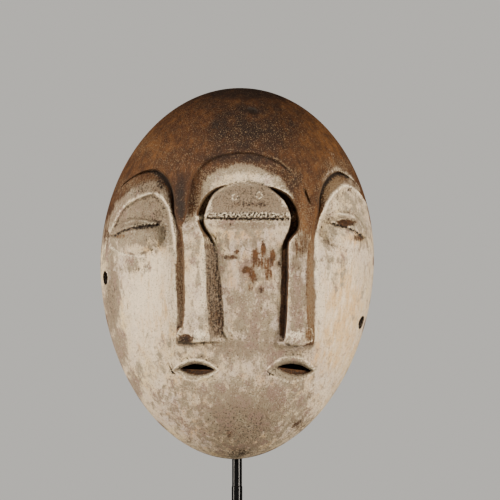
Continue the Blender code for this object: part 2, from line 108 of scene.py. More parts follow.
def add(tree, kind, inputs=None, **settings):
    """A node of any kind. An input is a value or the socket that feeds it, found by name or by number."""
    made = tree.nodes.new(kind)
    for name, value in settings.items():
        setattr(made, name, value)
    for name, value in (inputs or {}).items():
        if isinstance(value, bpy.types.NodeSocket):
            tree.links.new(value, made.inputs[name])
        else:
            made.inputs[name].default_value = value
    return made


print("a cream white in linear light:", [round(c, 3) for c in colour("#c6b28a")])

# %% [markdown]
# ## Drawing on the mask
#
# The carving follows lines: brows, nose edges, the rims of the eye sockets. Each is a short row of points
# that a smooth curve runs through. Points are shares: across, 1 is half the mask's width from the rod's line,
# and up, 1 is its height from the chin. Two questions then give every form: how far is a point from a line,
# and is it inside an outline?

# %% Curves, distances and ovals
CURVE_STEPS = 4
TINY = 1e-9               # keeps a division by nothing from failing


def smooth(band, value):
    """0 below the band's low end and 1 above its high end, with a soft change between."""
    low, high = band
    t = np.clip((value - low) / (high - low), 0, 1)
    return t * t * (3 - 2 * t)


def placed(points):
    """Shares of the half width and the height, as metres."""
    return np.array(points) * (MASK_WIDTH / 2, MASK_HEIGHT)


def curve(points):
    """A smooth curve through the points, as a finer row of points."""
    p = placed(points)
    p = np.vstack([2 * p[0] - p[1], p, 2 * p[-1] - p[-2]])
    t = (np.arange(CURVE_STEPS) / CURVE_STEPS)[:, None]
    rows = []
    for a, b, c, d in zip(p, p[1:], p[2:], p[3:]):
        cubic = 3 * b - a - 3 * c + d
        square = 2 * a - 5 * b + 4 * c - d
        rows.append(b + 0.5 * ((c - a) * t + square * t**2 + cubic * t**3))
    return np.vstack(rows + [p[-2:-1]])


def distance(path, x, z):
    """Distance from each point to a row of short straight lines."""
    best = np.full(np.shape(x), np.inf)
    for (ax, az), (bx, bz) in zip(path[:-1], path[1:]):
        dx, dz = bx - ax, bz - az
        length = max(dx * dx + dz * dz, TINY**2)
        t = np.clip(((x - ax) * dx + (z - az) * dz) / length, 0, 1)
        best = np.minimum(best, (x - ax - t * dx) ** 2 + (z - az - t * dz) ** 2)
    return np.sqrt(best)


def inside(ring, x, z):
    """Whether each point is inside a closed outline."""
    found = np.zeros(np.shape(x), bool)
    for (ax, az), (bx, bz) in zip(ring, np.roll(ring, -1, axis=0)):
        if az != bz:
            found ^= ((az > z) != (bz > z)) & (x < ax + (z - az) * (bx - ax) / (bz - az))
    return found


def depth_inside(ring, x, z):
    """Distance to a closed outline, positive inside it and negative outside."""
    side = np.where(inside(ring, x, z), 1, -1)
    return side * distance(np.vstack([ring, ring[:1]]), x, z)


def oval(shape, x, z):
    """Place along and across a turned oval, each 1 at its edge."""
    across, up, half_length, half_height, turn = shape
    (middle_x, middle_z), (reach, rise) = placed([(across, up), (half_length, half_height)])
    dx, dz = x - middle_x, z - middle_z
    cos, sin = math.cos(turn), math.sin(turn)
    return (cos * dx + sin * dz) / reach, (cos * dz - sin * dx) / rise


def lens(shape, x, z):
    """1 in the middle of a pointed oval and 0 on its two arcs."""
    along, across = oval(shape, x, z)
    return 1 - along**2 - np.abs(across)


print("a curve through 3 points has", len(curve(((0, 0), (0.5, 1), (1, 0)))), "points")

# %% [markdown]
# ## The blade's marks
#
# No carved line is quite straight and no cut is quite even. Noise bends the lines and dents the surfaces.
# A pattern of cells, each a shallow bowl, gives the scoops that a knife or an adze leaves. Both are worked
# out from the place alone, so the mask comes out the same each time.

# %% Noise and scoops
def turned_share(x, z, size, stretch, turn):
    """A place in lumps of the given size, which are turned and drawn out."""
    cos, sin = math.cos(turn), math.sin(turn)
    return (cos * x + sin * z) / size, (cos * z - sin * x) / (size * stretch)


def lumps(x, z, size, seed, stretch=1.0, turn=0.0):
    """Noise from about -1 to 1, with lumps of the given size, drawn out across the turn."""
    u, v = turned_share(x, z, size, stretch, turn)
    return np.reshape([noise.noise((a, b, seed)) for a, b in zip(u.ravel(), v.ravel())], np.shape(x))


def scoops(x, z, size, seed, stretch=1.0, turn=0.0):
    """0 in the middle of each scoop of a blade and near 1 on the ridges between them."""
    u, v = turned_share(x, z, size, stretch, turn)
    nearest = [noise.voronoi((a, b, seed))[0][0] for a, b in zip(u.ravel(), v.ravel())]
    return np.clip(np.reshape(nearest, np.shape(x)), 0, 1) ** 2


SEEDS = {                 # where each pattern starts in its noise
    "waver across": 1, "waver up": 2, "adze": 2, "uneven dirt": 3, "moat cuts": 4, "dents": 5, "pits": 6,
    "crumbs": 7, "knife cuts": 9, "broken slit": 11,
}
print("a scoop from middle to ridge:", scoops(np.linspace(0, 0.004, 5), np.zeros(5), 0.002, 3).round(2))

# %% [markdown]
# ## The lines of the carving
#
# A deep V-shaped cut runs under each outer brow and down beside the nose. Its outer side is steep. Its inner
# side slants up to the crisp rim of the eye socket. Between the two noses lies a third, larger eye in a moat,
# under an arched band that joins the noses.

# %% Lines and ovals of the carving
LEFT_BROW = ((-1.06, 0.640), (-0.974, 0.668), (-0.842, 0.736), (-0.725, 0.768), (-0.608, 0.780),
             (-0.527, 0.768), (-0.476, 0.741), (-0.450, 0.706), (-0.443, 0.666))
LEFT_SIDE = ((-0.443, 0.666), (-0.417, 0.628), (-0.388, 0.590), (-0.377, 0.456), (-0.385, 0.368),
             (-0.418, 0.352), (-0.437, 0.335), (-0.425, 0.318))
LEFT_RIM = ((-1.00, 0.530), (-0.915, 0.623), (-0.820, 0.682), (-0.688, 0.709), (-0.586, 0.714),
            (-0.498, 0.679), (-0.461, 0.617), (-0.443, 0.563), (-0.443, 0.318))
RIGHT_BROW = ((1.03, 0.640), (0.930, 0.702), (0.864, 0.747), (0.747, 0.774), (0.681, 0.767),
              (0.622, 0.741), (0.593, 0.706), (0.582, 0.666))
RIGHT_SIDE = ((0.582, 0.666), (0.548, 0.623), (0.518, 0.577), (0.508, 0.456), (0.515, 0.366),
              (0.548, 0.352), (0.560, 0.332), (0.545, 0.318))
RIGHT_RIM = ((0.990, 0.660), (0.915, 0.708), (0.805, 0.736), (0.725, 0.720), (0.652, 0.685),
             (0.593, 0.633), (0.567, 0.566), (0.567, 0.318))
ARCH = ((-0.366, 0.666), (-0.359, 0.704), (-0.322, 0.763), (-0.227, 0.802), (-0.095, 0.819), (0.044, 0.826),
        (0.183, 0.817), (0.315, 0.798), (0.395, 0.774), (0.490, 0.722), (0.531, 0.682))
LEFT_POINT = ((-0.425, 0.640), (-0.405, 0.628), (-0.385, 0.640))
RIGHT_POINT = ((0.550, 0.650), (0.568, 0.645))
MOAT_LEFT = ((0.081, 0.749), (-0.066, 0.741), (-0.168, 0.728), (-0.242, 0.706), (-0.293, 0.671),
             (-0.289, 0.639), (-0.249, 0.601), (-0.242, 0.577), (-0.227, 0.456), (-0.205, 0.318))
MOAT_RIGHT = ((0.355, 0.318), (0.373, 0.429), (0.381, 0.563), (0.395, 0.590), (0.454, 0.617),
              (0.461, 0.650), (0.432, 0.685), (0.359, 0.717), (0.227, 0.737), (0.081, 0.749))
PANEL = ((-0.081, 0.250), (-0.100, 0.429), (-0.139, 0.550), (-0.183, 0.596), (-0.234, 0.628),
         (-0.231, 0.658), (-0.205, 0.687), (-0.154, 0.717), (-0.051, 0.736), (0.081, 0.744),
         (0.212, 0.733), (0.329, 0.699), (0.381, 0.663), (0.384, 0.633), (0.344, 0.590),
         (0.322, 0.550), (0.315, 0.429), (0.300, 0.250))
RIGHT_TOE = ((0.470, 0.308),)
LEFT_SLIT = ((-0.908, 0.600), (-0.813, 0.616), (-0.725, 0.623), (-0.571, 0.631))
LEFT_CREASE = ((-0.886, 0.628), (-0.813, 0.642), (-0.725, 0.648), (-0.556, 0.639))
RIGHT_SLIT = ((0.690, 0.633), (0.791, 0.623), (0.871, 0.612), (0.925, 0.597))
RIGHT_CREASE = ((0.640, 0.655), (0.740, 0.668), (0.860, 0.656), (0.925, 0.625))
MIDDLE_SLIT = ((-0.240, 0.648), (0.081, 0.646), (0.375, 0.647))
LEFT_EYE = (-0.722, 0.603, 0.205, 0.050, 0.12)
RIGHT_EYE = (0.780, 0.606, 0.185, 0.042, -0.28)
MIDDLE_LID = (0.081, 0.648, 0.312, 0.100, 0.0)
LEFT_LIPS = (-0.304, 0.2425, 0.172, 0.0310, 0.0)
RIGHT_LIPS = (0.397, 0.2435, 0.189, 0.0365, -0.02)
LEFT_HOLE = (-0.288, 0.2440, 0.126, 0.0150, -0.03)
RIGHT_HOLE = (0.417, 0.2440, 0.126, 0.0150, -0.12)
# lines along the noses' feet, where the paint puts a painted shadow under them
NOSE_FEET = (((-0.430, 0.317), (-0.330, 0.314), (-0.220, 0.317)),
             ((0.350, 0.314), (0.450, 0.306), (0.545, 0.317)))
FOREHEAD_PIT = (0.110, 0.937, 0.045, 0.010, -0.3)
TOES = ((-0.335, 0.332, 0.150, 0.026, 0.0), (0.450, 0.328, 0.150, 0.030, 0.0))
LEFT_TIE = (-0.969, 0.488)
RIGHT_TIE = (0.915, 0.368)
MIDDLE_X = MIDDLE_LID[0] * MASK_WIDTH / 2
print("the middle eye is", round(2 * MIDDLE_LID[2] * MASK_WIDTH / 2 * MM), "mm wide")

# %% Depths and widths of the carving
BROW_WALL = 0.0014        # width of the steep cut under a brow and beside a nose
CUT_ROUND = 0.0003
UNDERCUT = 0.0070         # extra depth at the foot of that cut
UNDERCUT_BAND = (0.60, 0.84)       # share of the half width, from the middle eye, over which it gets shallow
UNDERCUT_LEAST = 0.12
UNDERCUT_FALL = (0.610, 0.690)     # it gets shallow between these heights, shares of the mask's
UNDERCUT_NOSE = (0.22, 0.0)        # what is left of it beside the left and the right nose
SLANT_POWER = 1.8
EYE_HOLLOW = 0.0050
HOLLOW_EDGE = 0.0033
EYE_SWELL = 0.0088
SWELL_POWER = 1.15
EYE_RING = (1.05, 0.20, 0.0008)    # groove round the eyeball: size, width and depth
SLIT_WIDTH = 0.0012
SLIT_DEPTH = 0.0030
SLIT_EVEN = 0.6           # share of the middle slit's depth that crumbs leave on average
CREASE_DEPTH = 0.0016
CRUST_GRAIN = 0.0015      # size of the crumbs of old clay and dirt
NOSE_DROP = 0.001
TOE_RISE = 0.0032         # the noses thicken at their foot
BAND_DROP = 0.0038        # step from the forehead to the arched band
BAND_SINK = 0.004
BAND_FALL = 0.018
MOAT_DEPTH = 0.0125
MOAT_WALL = 0.0030
LEFT_SLOPE = 0.0105       # width of the long slope on the inner side of the left nose
RIGHT_SLOPE = 0.0018
RIGHT_FLANK = 0.0075      # width of the outer side of the right nose
LID_EDGE = 0.0095
LID_SWELL = 0.008
LID_ROUND = 0.85
UNDER_LID = 0.003
UNDER_ENDS = 0.0035
PLATE_WALL = 0.0013
PLATE_ROUND = 0.0008
LIP_RAISE = 0.0012
LIP_FALL = 0.0024         # from the lips' rim down to the slot
MOUTH_SINK = 0.005
PIT_DEPTH = 0.003
EDGE_FADE = 1.4
MIDDLE_MARGIN = 0.012
MIDDLE_REACH = 0.23       # share of the width
OUTSIDE = 1.6             # a share well outside the mask

NOSE_FOOT = 0.318         # from here on, shares of the height
FOOT_BAND = (NOSE_FOOT - 0.02, NOSE_FOOT + 0.01)
PANEL_FOOT = NOSE_FOOT - 0.01
HOLLOW_BAND = (0.545, 0.625)
MOAT_BAND = (0.550, 0.615)
MOAT_BRIDGE = (0.38, 0.64)         # share of the lid's half width over which the moat opens
SLOPE_BAND = (0.565, 0.620)
ARCH_BAND = (0.600, 0.720)
RIGHT_ARCH_BAND = (0.735, 0.795)   # on the right the band rises to the forehead's level
RIGHT_TOP = (0.610, 0.680)
LIP_BAND = (-0.12, 0.12)
FALL_BAND = (0.14, 0.80)
SLOT_BAND = (-0.55, 0.55)
SLOT_TOP = 0.95
SLOT_BOTTOM = 0.04        # below it the lower lip is cut away at a slant
print(f"moat {MOAT_DEPTH * MM:.1f} mm, undercut {UNDERCUT * MM:.1f} mm, eyeballs {EYE_SWELL * MM:.1f} mm")

# %% [markdown]
# ## The relief
#
# The uncut mask is a smooth dome over an egg-shaped outline. Every cut is a depth taken away from it. The
# relief could be sculpted by hand, but a formula can be measured and changed. The function returns the height
# of the carved front over the rim's plane and, in a dictionary, how much of each zone there is at each point,
# which the paint uses later.

# %% Dome and sockets
def outline_share(x, z, inset=0.0):
    """0 at the middle of the mask and 1 on its outline, which is moved inwards by inset."""
    above = z > MIDDLE
    power = np.where(above, CROWN_POWER, CHIN_POWER)
    side = np.abs(x - LEAN * (z - MASK_HEIGHT / 2)) / (MASK_WIDTH / 2 - inset)
    rise = np.abs(z - MIDDLE) / (np.where(above, MASK_HEIGHT - MIDDLE, MIDDLE) - inset)
    return (side**power + rise**power) ** (1 / power)


def dome(x, z, depth, inset=0.0):
    """Height of a smooth dome over the outline."""
    share = np.clip(outline_share(x, z, inset), 0, 1)
    return depth * np.sqrt(1 - share**DOME_POWER)


def groove(points, depth, x, z):
    """Depth of a round-bottomed cut along a line."""
    return depth * np.exp(-((distance(curve(points), x, z) / SLIT_WIDTH) ** 2))


def socket(x, z, brow, side, rim, eye, towards, beside_nose):
    """The cut under one brow and along its nose with the eye in its hollow, and how far each goes."""
    share = z / MASK_HEIGHT
    line = curve(rim)
    far = towards * OUTSIDE
    beyond = placed([(rim[-1][0], -OUTSIDE), (far, -OUTSIDE), (far, rim[0][1])])
    cheek = inside(np.vstack([line, beyond]), x, z) | (share < FOOT_BAND[0])
    to_edge = distance(np.vstack([curve(brow), curve(side)]), x, z)
    to_rim = distance(line, x, z)
    slant = to_rim / (to_edge + to_rim + TINY)
    hollow = EYE_HOLLOW * smooth((0, HOLLOW_EDGE), to_rim) * smooth(HOLLOW_BAND, share)
    outwards = smooth(UNDERCUT_BAND, np.abs(x - MIDDLE_X) * 2 / MASK_WIDTH)
    undercut = UNDERCUT * (1 - (1 - UNDERCUT_LEAST) * outwards)
    undercut = undercut * (beside_nose + (1 - beside_nose) * smooth(UNDERCUT_FALL, share))
    slant = slant * smooth(FOOT_BAND, share)
    size = np.hypot(*oval(eye, x, z))
    swell = EYE_SWELL * np.clip(1 - size**2, 0, 1) ** SWELL_POWER
    at, wide, deep = EYE_RING
    swell = swell - deep * np.exp(-(((size - at) / wide) ** 2))
    cut = np.where(cheek, hollow, undercut * slant**SLANT_POWER) - swell
    return cut, np.where(cheek, 0, slant), np.where(cheek, hollow / EYE_HOLLOW, 0)


SIDES = {                 # brow, nose edge, rim, eyeball, which way the cheek lies, undercut beside the nose
    "left": (LEFT_BROW, LEFT_SIDE, LEFT_RIM, LEFT_EYE, -1, UNDERCUT_NOSE[0]),
    "right": (RIGHT_BROW, RIGHT_SIDE, RIGHT_RIM, RIGHT_EYE, 1, UNDERCUT_NOSE[1]),
}
LID_GROOVES = {
    "left": ((LEFT_SLIT, SLIT_DEPTH), (LEFT_CREASE, CREASE_DEPTH)),
    "right": ((RIGHT_SLIT, SLIT_DEPTH), (RIGHT_CREASE, CREASE_DEPTH)),
}


def lidded_socket(name, x, z):
    """A socket with the slit and the crease of its closed eye."""
    cut, slant, hollow = socket(x, z, *SIDES[name])
    for line, depth in LID_GROOVES[name]:
        cut = cut + groove(line, depth, x, z)
    return cut, slant, hollow


print("deepest cut on a line under the left brow:",
      f"{lidded_socket('left', np.full(9, -0.08), np.linspace(0.2, 0.23, 9))[0].max() * MM:.1f} mm")

# %% The middle eye, the noses and the forehead
def middle_eye(x, z, face):
    """A moat round a large lid, but for a bridge above it, and the panel that runs down from the lid."""
    along, across = oval(MIDDLE_LID, x, z)
    lid = LID_EDGE - LID_SWELL * np.sqrt(np.clip(1 - LID_ROUND * (along**2 + across**2), 0, 1))
    low = smooth((0, 1), -across)
    under = UNDER_LID + (face - UNDER_LID) * low + UNDER_ENDS * along**2 * (1 - low)
    plate = np.where(across > 0, lid, under)
    open_moat = np.where(across > 0, smooth(MOAT_BRIDGE, np.abs(along)), 1)
    floor = face + (MOAT_DEPTH - face) * smooth(MOAT_BAND, z / MASK_HEIGHT) * open_moat
    on_plate = smooth((-PLATE_WALL, PLATE_ROUND), depth_inside(curve(PANEL), x, z))
    broken = SLIT_EVEN + lumps(x, z, CRUST_GRAIN, SEEDS["broken slit"])
    cut = floor + (plate - floor) * on_plate + broken * groove(MIDDLE_SLIT, SLIT_DEPTH, x, z)
    return cut, on_plate, open_moat


def ribbon(x, z, moat):
    """The noses and the band that joins them: how much of them there is, their depth, and what is beside."""
    ring = [curve(LEFT_SIDE)[::-1], curve(ARCH), curve(RIGHT_SIDE), placed(RIGHT_TOE), curve(MOAT_RIGHT),
            curve(MOAT_LEFT)]
    share = z / MASK_HEIGHT
    low = 1 - smooth(SLOPE_BAND, share)
    slope = np.where(x < MIDDLE_X, LEFT_SLOPE, RIGHT_SLOPE)
    outer = np.where(x < MIDDLE_X, BROW_WALL, BROW_WALL + (RIGHT_FLANK - BROW_WALL) * low)
    wall = np.where(moat > 0, low * slope + (1 - low) * MOAT_WALL, outer)
    beyond = -depth_inside(np.vstack(ring), x, z)
    on_ribbon = 1 - smooth((0, 1), beyond / wall)
    sink = BAND_SINK * np.clip(1 - np.abs(moat) / BAND_FALL, 0, 1)
    left = NOSE_DROP + (BAND_DROP - NOSE_DROP + sink) * smooth(ARCH_BAND, share)
    right = NOSE_DROP * (1 - smooth(RIGHT_TOP, share)) + (BAND_DROP + sink) * smooth(RIGHT_ARCH_BAND, share)
    level = left + (right - left) * smooth((MIDDLE_X, ARCH[-3][0] * MASK_WIDTH / 2), x)
    for toe in TOES:
        level = level - TOE_RISE * np.clip(1 - np.hypot(*oval(toe, x, z)) ** 2, 0, 1)
    return on_ribbon, level, beyond > 0


def forehead_part(x, z):
    """1 on the uncut forehead and 0 below the brows and the arch."""
    left_low, right_low = LEFT_BROW[0][1], RIGHT_BROW[0][1]
    far = placed([(OUTSIDE, right_low), (OUTSIDE, OUTSIDE), (-OUTSIDE, OUTSIDE), (-OUTSIDE, left_low)])
    rows = [curve(LEFT_BROW), placed(LEFT_POINT), curve(ARCH), placed(RIGHT_POINT)]
    rows += [curve(RIGHT_BROW)[::-1], far]
    return smooth((-BROW_WALL, CUT_ROUND), depth_inside(np.vstack(rows), x, z))


def mouth(x, z, lips, hole):
    """A thin raised rim round a shallow basin that falls to the slot."""
    across_lips = lens(lips, x, z)
    sunk = LIP_FALL * smooth(FALL_BAND, across_lips) + MOUTH_SINK * smooth(SLOT_BAND, lens(hole, x, z))
    return sunk - LIP_RAISE * smooth(LIP_BAND, across_lips)


def mouths_and_pit(x, z):
    """Both mouths and the small pit in the forehead."""
    along, across = oval(FOREHEAD_PIT, x, z)
    pit = PIT_DEPTH * np.clip(1 - along**2 - across**2, 0, 1)
    return mouth(x, z, LEFT_LIPS, LEFT_HOLE) + mouth(x, z, RIGHT_LIPS, RIGHT_HOLE) + pit


mouth_middle = placed([RIGHT_LIPS[:2]])[0]
print(f"the right mouth is sunk {mouth(*mouth_middle, RIGHT_LIPS, RIGHT_HOLE) * MM:.1f} mm at its middle")

# %% The carved front as one function
def carve(x, z):
    """Height of the carved front, and how much of each zone there is."""
    block = dome(x, z, MASK_DEPTH)
    face = block - dome(x, z, MASK_DEPTH - FACE_RECESS)
    left, left_slant, left_hollow = lidded_socket("left", x, z)
    right, right_slant, right_hollow = lidded_socket("right", x, z)
    fade = np.clip(EDGE_FADE * face / FACE_RECESS, 0, 1)
    cut = face + np.where(x < MIDDLE_X, left, right) * fade
    moat = depth_inside(np.vstack([curve(MOAT_LEFT), curve(MOAT_RIGHT)]), x, z)
    near = (moat > -MIDDLE_MARGIN) & (np.abs(x - MIDDLE_X) < MIDDLE_REACH * MASK_WIDTH)
    near &= z > PANEL_FOOT * MASK_HEIGHT
    middle, on_plate, open_moat = middle_eye(x, z, face)
    cut = np.where(near, middle, cut)
    on_ribbon, level, beside = ribbon(x, z, moat)
    forehead = forehead_part(x, z)
    cut = (cut + (level - cut) * on_ribbon) * (1 - forehead) + mouths_and_pit(x, z)
    rest = (1 - forehead) * (1 - on_ribbon)
    zones = {
        "forehead": forehead, "ribbon": on_ribbon * (1 - forehead),
        "moat": rest * np.where(near, 1 - on_plate, 0), "plate": rest * np.where(near, on_plate, 0),
        "pit": np.where(near, smooth((0, PLATE_ROUND), moat) * (1 - on_plate) * open_moat, 0),
        "eye hollow": rest * np.where(near, 0, np.where(x < MIDDLE_X, left_hollow, right_hollow)),
        "left slant": (1 - forehead) * beside * np.where(near | (x > MIDDLE_X), 0, left_slant),
        "right slant": (1 - forehead) * beside * np.where(near | (x < MIDDLE_X), 0, right_slant),
        "in moat": moat, "left of middle": (x < MIDDLE_X).astype(float),
    }
    return block - cut, zones


height, zones = carve(np.array([MIDDLE_X]), np.array([MIDDLE]))
print(f"the panel stands {height[0] * MM:.1f} mm over the rim's plane")

# %% [markdown]
# ## What the blade and the years added
#
# Lines waver a little, surfaces are dented, the long slope beside the left nose was cut roughly and never
# smoothed, and crusts of old clay and dirt sit along the eyelids and in the corners of the moat. The forehead
# has a hairline crack and small pits. All this is real relief, because light raking over it shows.

# %% Marks of the blade
WAVER = 0.0004            # how far carved lines wander, and over what length
WAVER_LENGTH = 0.011
DENTS = ((0.020, 0.00035), (0.007, 0.00014))       # size and depth
KNIFE_CUTS = (0.0021, 0.0017, 2.6, 0.55, 0.25)     # size, depth, stretch, turn and mean of the scoops
MOAT_CUTS = (0.0026, 0.0008, 1.8, 0.20, 0.30)
SLOPE_EDGE = 0.3          # share of the rough slope's width over which its knife cuts begin
CRACKS = (                # points, half width and depth
    (((0.300, 0.960), (0.322, 0.905), (0.330, 0.850), (0.345, 0.805)), 0.00045, 0.0006),
    (((-0.500, 0.262), (-0.475, 0.244), (-0.460, 0.232)), 0.00072, 0.0016),
    (((0.208, 0.247), (0.245, 0.232), (0.292, 0.222)), 0.00090, 0.0014),
    (((0.480, 0.732), (0.506, 0.705), (0.531, 0.684)), 0.00117, 0.0028),
)
CRACK_FULL = 1.15         # above 1, a crack keeps its full depth a little way from its middle


def crack(points, width, depth, x, z):
    """A narrow cut that fades towards its ends."""
    path = curve(points)
    from_middle = np.hypot(x - path[:, 0].mean(), z - path[:, 1].mean())
    reach = np.hypot(*(path[0] - path[-1])) / 2
    fade = np.clip(CRACK_FULL - (from_middle / reach) ** 2, 0, 1)
    return depth * fade * np.exp(-((distance(path, x, z) / width) ** 2))


def scooped(cuts, seed, x, z):
    """Depth of a field of scoops, about 0 on average."""
    size, depth, stretch, turn, mean = cuts
    return depth * (scoops(x, z, size, SEEDS[seed], stretch, turn) - mean)


def blade_marks(x, z, zones):
    """Dents, the knife cuts of the slope beside the left nose and of the moat, and cracks."""
    cut = sum(depth * lumps(x, z, size, SEEDS["dents"]) for size, depth in DENTS)
    share = z / MASK_HEIGHT
    slope = np.clip(zones["in moat"] / LEFT_SLOPE, 0, 1) * (zones["in moat"] < LEFT_SLOPE) * (x < MIDDLE_X)
    slope = np.where((share > PANEL_FOOT) & (share < SLOPE_BAND[1]), slope, 0)
    cut = cut + smooth((0, SLOPE_EDGE), slope) * scooped(KNIFE_CUTS, "knife cuts", x, z)
    cut = cut + zones["moat"] * (1 - slope) * scooped(MOAT_CUTS, "moat cuts", x, z)
    return cut + sum(crack(*values, x, z) for values in CRACKS)


print(len(CRACKS), "cracks, the deepest", max(deep for _, _, deep in CRACKS) * MM, "mm")

# %% Crusts of old clay and dirt
SLIT_CRUST = (0.0015, 0.5, 1.2)    # height of a crust, its even share and the share that is crumbs
LID_CRUST = (0.0009, 0.4, 1.6)
MOUND_CRUST = (0.0022, 1.0, 0.8)
LID_CRUST_WIDE = 0.0021
CRUST_FOOT = (-0.0004, 0.0010)     # the crust over the middle slit begins and ends at these heights
CRUST_TOP = (0.00372, 0.0062)
MOUNDS = ((-0.262, 0.650, 0.034, 0.008, 0.0), (0.425, 0.656, 0.040, 0.010, 0.4))
PITS = (0.0016, 0.0005)            # size and depth
PITS_FROM = 0.25                   # level of the noise from which it makes a pit


def line_share(lines, wide, x, z):
    """1 on the lines and 0 away from them."""
    nearest = np.minimum.reduce([distance(curve(points), x, z) for points in lines])
    return np.exp(-((nearest / wide) ** 2))


def mounds(x, z):
    """1 on the lumps of old clay in the moat's two corners and 0 away from them."""
    return np.maximum(*(np.exp(-(np.hypot(*oval(mound, x, z)) ** 2)) for mound in MOUNDS))


def crusts(x, z, zones):
    """Height of the clay and dirt that were never cleaned off, less the small pits of the surface."""
    over_slit = z - placed([(0, MIDDLE_SLIT[1][1])])[0, 1]
    band = smooth(CRUST_FOOT, over_slit) * (1 - smooth(CRUST_TOP, over_slit)) * zones["plate"]
    on_lids = line_share((LEFT_SLIT, RIGHT_SLIT), LID_CRUST_WIDE, x, z)
    crumbs = lumps(x, z, CRUST_GRAIN, SEEDS["crumbs"])
    size, depth = PITS
    total = -depth * np.clip(lumps(x, z, size, SEEDS["pits"]) - PITS_FROM, 0, 1)
    for sizes, where in ((SLIT_CRUST, band), (LID_CRUST, on_lids), (MOUND_CRUST, mounds(x, z))):
        height, even, loose = sizes
        total = total + height * where * (even + loose * crumbs)
    return total


print(f"the two mounds stand {MOUND_CRUST[0] * MM:.1f} mm high")

# %% The finished front
def wavered(x, z):
    """A place moved aside a little, so that the lines drawn there are not quite straight."""
    moved_x = x + WAVER * lumps(x, z, WAVER_LENGTH, SEEDS["waver across"])
    return moved_x, z + WAVER * lumps(x, z, WAVER_LENGTH, SEEDS["waver up"])


def front(x, z):
    """The carved front with everything on it, over the rim's plane."""
    u, v = wavered(x, z)
    height, zones = carve(u, v)
    height = height + dome(x, z, MASK_DEPTH) - dome(u, v, MASK_DEPTH)
    whole = np.clip(height / FACE_RECESS, 0, 1)
    marks = blade_marks(x, z, zones) - crusts(x, z, zones)
    return np.clip(height - whole * marks, 0, RIM_PLANE - mask_low.y)


print(f"the front is {front(np.zeros(1), np.full(1, MIDDLE))[0] * MM:.1f} mm high under the middle eye")

# %% [markdown]
# ## The shell
#
# A grid of points follows the egg-shaped outline and crowds towards it, where the dome is steep. The front
# and the hollow are two such grids, joined by a rounded rim. The dense mesh is then thinned by a Decimate
# modifier, which keeps triangles where the surface bends and drops them where it is flat.

# %% Grid of the shell
ROWS = 600
FRONT_COLUMNS = 520
HOLLOW_COLUMNS = 70
MASK_TRIANGLES = 186000
ADZE_CUTS = (0.010, 0.0009, 1.9, 0.08, 0.35)       # as the knife cuts, in the hollow
ROUND_STEPS = 4


def grid(columns, inset):
    """x and z of a grid that crowds towards the outline."""
    turn = np.linspace(-math.pi / 2, math.pi / 2, ROWS + 1)[:, None]
    across = np.linspace(-math.pi / 2, math.pi / 2, columns + 1)[None, :]
    power = np.where(turn > 0, CROWN_POWER, CHIN_POWER)
    reach = np.where(turn > 0, MASK_HEIGHT - MIDDLE, MIDDLE) - inset
    half = np.clip(1 - np.abs(np.sin(turn)) ** power, 0, 1) ** (1 / power)
    z = MIDDLE + reach * np.sin(turn) + 0 * across
    x = LEAN * (z - MASK_HEIGHT / 2) + (MASK_WIDTH / 2 - inset) * half * np.sin(across)
    return x, z


def hollow(x, z):
    """The hollow, scooped out with an adze in downward strokes."""
    even = dome(x, z, HOLLOW_DEPTH, RIM_WALL)
    return even - scooped(ADZE_CUTS, "adze", x, z) * np.clip(even / RIM_WALL, 0, 1)


def rim_profile():
    """Inset and height of the rim from the hollow's edge to the outline, with both edges rounded."""
    turns = np.linspace(0, math.pi / 2, ROUND_STEPS)[1:]
    inner = [(RIM_WALL - RIM_ROUND * (1 - math.cos(t)), RIM_ROUND * (1 - math.sin(t))) for t in turns]
    outer = [(RIM_ROUND * (1 - math.cos(t)), RIM_ROUND * (1 - math.sin(t))) for t in turns[::-1]]
    return inner + outer


print("front of", grid(FRONT_COLUMNS, 0)[0].size, "points, rim of", len(rim_profile()), "rows")

# %% Build the shell
def sheet_faces(index):
    """Two triangles for each cell of a grid of point numbers, without those that have shrunk to nothing."""
    a, b, c, d = index[:-1, :-1], index[:-1, 1:], index[1:, 1:], index[1:, :-1]
    faces = np.vstack([np.stack(corner, -1).reshape(-1, 3) for corner in ((a, b, c), (a, c, d))])
    whole = (faces[:, 0] != faces[:, 1]) & (faces[:, 1] != faces[:, 2]) & (faces[:, 0] != faces[:, 2])
    return faces[whole]


def add_rows(points, x, z, rise):
    """Puts a grid's points in the list and returns their numbers; the first and last rows are one point."""
    start = sum(len(p) for p in points)
    rows, columns = x.shape
    index = start + np.arange(rows * columns).reshape(rows, columns)
    index[0], index[-1] = index[0, 0], index[-1, 0]
    points.append(np.stack([x, RIM_PLANE - rise, CHIN + z], -1).reshape(-1, 3))
    return index


def shell_mesh():
    """Front, hollow and rim as one closed mesh."""
    points = []
    x, z = grid(FRONT_COLUMNS, 0)
    rise = np.maximum(front(x, z), RIM_ROUND)
    outer = add_rows(points, x, z, rise)
    x, z = grid(HOLLOW_COLUMNS, RIM_WALL)
    inner = add_rows(points, x, z, np.maximum(hollow(x, z), RIM_ROUND))
    sides = {0: [inner[:, 0]], -1: [inner[:, -1]]}
    for inset, rise in rim_profile()[:-1]:
        x, z = grid(1, inset)
        ring = add_rows(points, x, z, np.full(x.shape, rise))
        for side in sides:
            sides[side].append(ring[:, side])
    for side in sides:
        sides[side].append(outer[:, side])
    faces = [sheet_faces(outer), sheet_faces(inner)]
    faces += [sheet_faces(np.stack(columns, 1)) for columns in sides.values()]
    mesh = bpy.data.meshes.new("mask shell")
    mesh.from_pydata(np.vstack(points), [], np.vstack(faces))
    return mesh


def clean_mesh(mesh):
    """Drops the points that no face uses and turns every face outwards."""
    shape = bmesh.new()
    shape.from_mesh(mesh)
    bmesh.ops.delete(shape, geom=[v for v in shape.verts if not v.link_faces], context="VERTS")
    bmesh.ops.recalc_face_normals(shape, faces=shape.faces)
    shape.to_mesh(mesh)
    shape.free()


